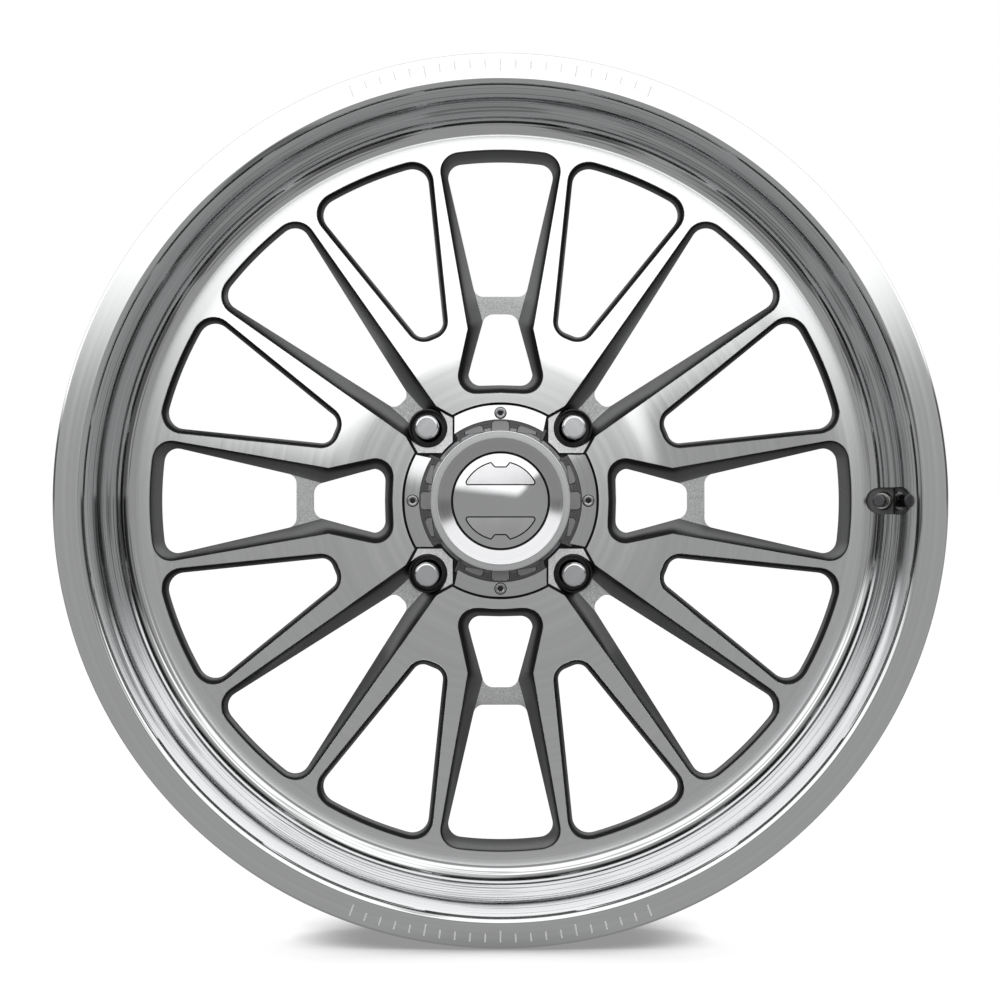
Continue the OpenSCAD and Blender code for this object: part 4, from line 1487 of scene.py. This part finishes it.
class RIM_OT_small_parts(bpy.types.Operator):
    """Give the seals, the snap ring and the valve's inner parts their finishes"""

    bl_idname = "rim.small_parts"
    bl_label = "Seals and valve parts"

    def execute(self, context):
        for name, kind in KEPT.items():
            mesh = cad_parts[name].data
            mesh.materials.clear()
            mesh.materials.append(finish_named(kind))
        cap = valve_cap().make("knurled_valve_cap", [finish_named("anodised")],
                               place=valve_place())
        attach(cap, "cap_of_valve")
        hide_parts("valve_cap")
        return {"FINISHED"}


def valve_cap():
    """The valve's cap: a knurled cup, open below, with a domed top."""
    top, flutes = 16.6, 24

    def knurled(turn, r, z):
        if r < 4.85 or not 5.6 < z < 15:
            return r
        return r - 0.22 * (0.5 + 0.5 * cos(turn * flutes))

    shape = Shape()
    profile = joined(
        [(4.05, 4.6), (4.7, 4.6), (4.9, 4.9), (4.9, 5.5), (4.9, 5.8), (4.9, 14.6), (4.9, 15.1)],
        arc((3.7, 15.4), 1.2, 0, pi / 2, 6), [(0, top)], [(0, top - 1.4)], [(4.05, top - 1.4)],
        [(4.05, 4.6)])
    shape.lathe(profile, 144, radius=knurled)
    return shape


# ---------------------------------------------------------------- the studio


class RIM_OT_stage(bpy.types.Operator):
    """Set up the pale floor, the soft studio light and the camera"""

    bl_idname = "rim.stage"
    bl_label = "Studio"

    def execute(self, context):
        studio = context.scene.rim_studio
        context.scene.view_settings.view_transform = "Standard"
        camera_data = bpy.data.cameras.new("camera")
        camera_data.lens = studio.lens
        camera_data.sensor_width = 36
        camera_data.shift_x = -0.0005
        camera_data.shift_y = 0.0008
        camera = bpy.data.objects.new("camera", camera_data)
        camera.location = (0, -FRONT_Z * MM - studio.distance, 0)
        camera.rotation_euler = (pi / 2, 0, 0)
        context.scene.collection.objects.link(camera)
        context.scene.camera = camera
        floor(studio)
        sky(context.scene, studio)
        return {"FINISHED"}


# Painted contact shadow on the floor: how open the air over the floor is where the shadow is
# darkest and where it ends, and how bright the floor glows there
FLOOR_SHADE = (0.35, 1.0, 0.3, 1.03)


def node_maker(tree):
    """A function that adds a node, fills its first inputs in order and gives its first output."""

    def node(kind, settings=None, *inputs):
        made = tree.nodes.new(kind)
        for key, value in (settings or {}).items():
            setattr(made, key, value)
        for socket, value in zip(made.inputs, inputs):
            if isinstance(value, bpy.types.NodeSocket):
                tree.links.new(value, socket)
            else:
                socket.default_value = value
        return made.outputs[0]

    return node


def seen_apart(tree, node, mirrored_light, seen, end_kind):
    """Ends the tree with one shader for what the camera sees and another for what is mirrored."""
    camera_ray = tree.nodes.new("ShaderNodeLightPath").outputs["Is Camera Ray"]
    mix = node("ShaderNodeMixShader", None, camera_ray, mirrored_light, seen)
    end = tree.nodes.new(end_kind)
    tree.links.new(mix, end.inputs["Surface"])


def floor(studio):
    """A wide pale floor under the wheel that glows. For the camera it glows white with a painted
    contact shadow where the wheel closes off the air above it; in the polished pieces it mirrors as
    a dim glow, brighter in front of the wheel than behind.
    """
    half, low = 30, -FLANGE_R * MM - 0.0003
    mesh = bpy.data.meshes.new("floor")
    corners = [(-half, -half, low), (half, -half, low), (half, half, low), (-half, half, low)]
    mesh.from_pydata(corners, [], [(0, 1, 2, 3)])
    piece = bpy.data.objects.new("floor", mesh)
    bpy.context.scene.collection.objects.link(piece)
    material = bpy.data.materials.new("pale floor")
    material.use_nodes = True
    tree = material.node_tree
    tree.nodes.clear()
    node = node_maker(tree)
    # Painted shadow: the floor's glow for the camera dims where ambient occlusion finds the wheel
    # close above.
    open_air = tree.nodes.new("ShaderNodeAmbientOcclusion")
    open_air.samples = 16
    open_air.inputs["Distance"].default_value = studio.shadow
    shade = node("ShaderNodeMapRange", {"interpolation_type": "SMOOTHSTEP"},
                 open_air.outputs["AO"], *FLOOR_SHADE)
    bright = node("ShaderNodeEmission", None, (*studio.floor_colour, 1), shade)
    place = tree.nodes.new("ShaderNodeSeparateXYZ")
    coordinates = tree.nodes.new("ShaderNodeTexCoord")
    tree.links.new(coordinates.outputs["Object"], place.inputs[0])
    fade = node("ShaderNodeMapRange", None, place.outputs[1], -0.15, 0.05, studio.ground,
                studio.side)
    mirrored_floor = node("ShaderNodeEmission", None, (1, 1, 1, 1), fade)
    seen_apart(tree, node, mirrored_floor, bright, "ShaderNodeOutputMaterial")
    mesh.materials.append(material)


def sky(scene, studio):
    """White above the camera's level, grey below it in front, dark at the sides and dim behind.
    What the camera sees past the wheel is plain white."""
    world = bpy.data.worlds.new("studio")
    world.use_nodes = True
    scene.world = world
    tree = world.node_tree
    tree.nodes.clear()
    node = node_maker(tree)

    def smooth(value, low, high, out_low, out_high):
        return node("ShaderNodeMapRange", {"interpolation_type": "SMOOTHSTEP"},
                    value, low, high, out_low, out_high)

    def math(operation, *inputs):
        return node("ShaderNodeMath", {"operation": operation}, *inputs)

    direction = tree.nodes.new("ShaderNodeTexCoord").outputs["Generated"]
    parts = tree.nodes.new("ShaderNodeSeparateXYZ")
    tree.links.new(direction, parts.inputs[0])
    x, y, z = parts.outputs
    ahead = math("MULTIPLY", y, -1.0)
    level = math("ADD", z, math("MULTIPLY", x, 0.11))
    raised_side = smooth(x, 0.15, 0.45, 0.0, 0.27)
    above = smooth(math("SUBTRACT", level, raised_side), 0.03, 0.135, 0.0, 1.0)
    low = smooth(ahead, 0.3, 0.95, studio.side, studio.ground)
    high = smooth(ahead, 0.1, 0.45, studio.side, studio.sky)
    front = math("ADD", low, math("MULTIPLY", above, math("SUBTRACT", high, low)))
    light = math("MAXIMUM", front, smooth(y, 0.4, 0.9, 0.0, studio.behind))
    seen = node("ShaderNodeBackground", None, (1, 1, 1, 1), 1)
    around = node("ShaderNodeBackground", None, (1, 1, 1, 1), light)
    seen_apart(tree, node, around, seen, "ShaderNodeOutputWorld")


# ---------------------------------------------------------------- panel and running

PIECES = [
    RIM_OT_barrel, RIM_OT_spoked_centre, RIM_OT_lug_hardware, RIM_OT_hub_cap,
    RIM_OT_small_parts, RIM_OT_stage,
]


class RIM_PT_pieces(bpy.types.Panel):
    """The wheel rim's pieces, and what may be changed before they are made"""

    bl_idname = "RIM_PT_pieces"
    bl_label = "Wheel rim"
    bl_space_type = "VIEW_3D"
    bl_region_type = "UI"
    bl_category = "Wheel rim"

    def draw(self, context):
        layout = self.layout
        for group in (context.scene.rim_sizes, context.scene.rim_finishes,
                      context.scene.rim_studio):
            box = layout.box()
            for name in group.bl_rna.properties.keys():
                if name not in ("rna_type", "name"):
                    box.prop(group, name)
        for piece in PIECES:
            layout.operator(piece.bl_idname)


GROUPS = {"rim_sizes": RimSizes, "rim_finishes": RimFinishes, "rim_studio": RimStudio}


def register():
    for kind in (*GROUPS.values(), *PIECES, RIM_PT_pieces):
        bpy.utils.register_class(kind)
    for name, group in GROUPS.items():
        setattr(bpy.types.Scene, name, PointerProperty(type=group))


def unregister():
    for name in GROUPS:
        delattr(bpy.types.Scene, name)
    for kind in reversed((*GROUPS.values(), *PIECES, RIM_PT_pieces)):
        bpy.utils.unregister_class(kind)


def main():
    register()
    for piece in PIECES:
        family, name = piece.bl_idname.split(".")
        getattr(getattr(bpy.ops, family), name)()


if __name__ == "__main__":
    main()
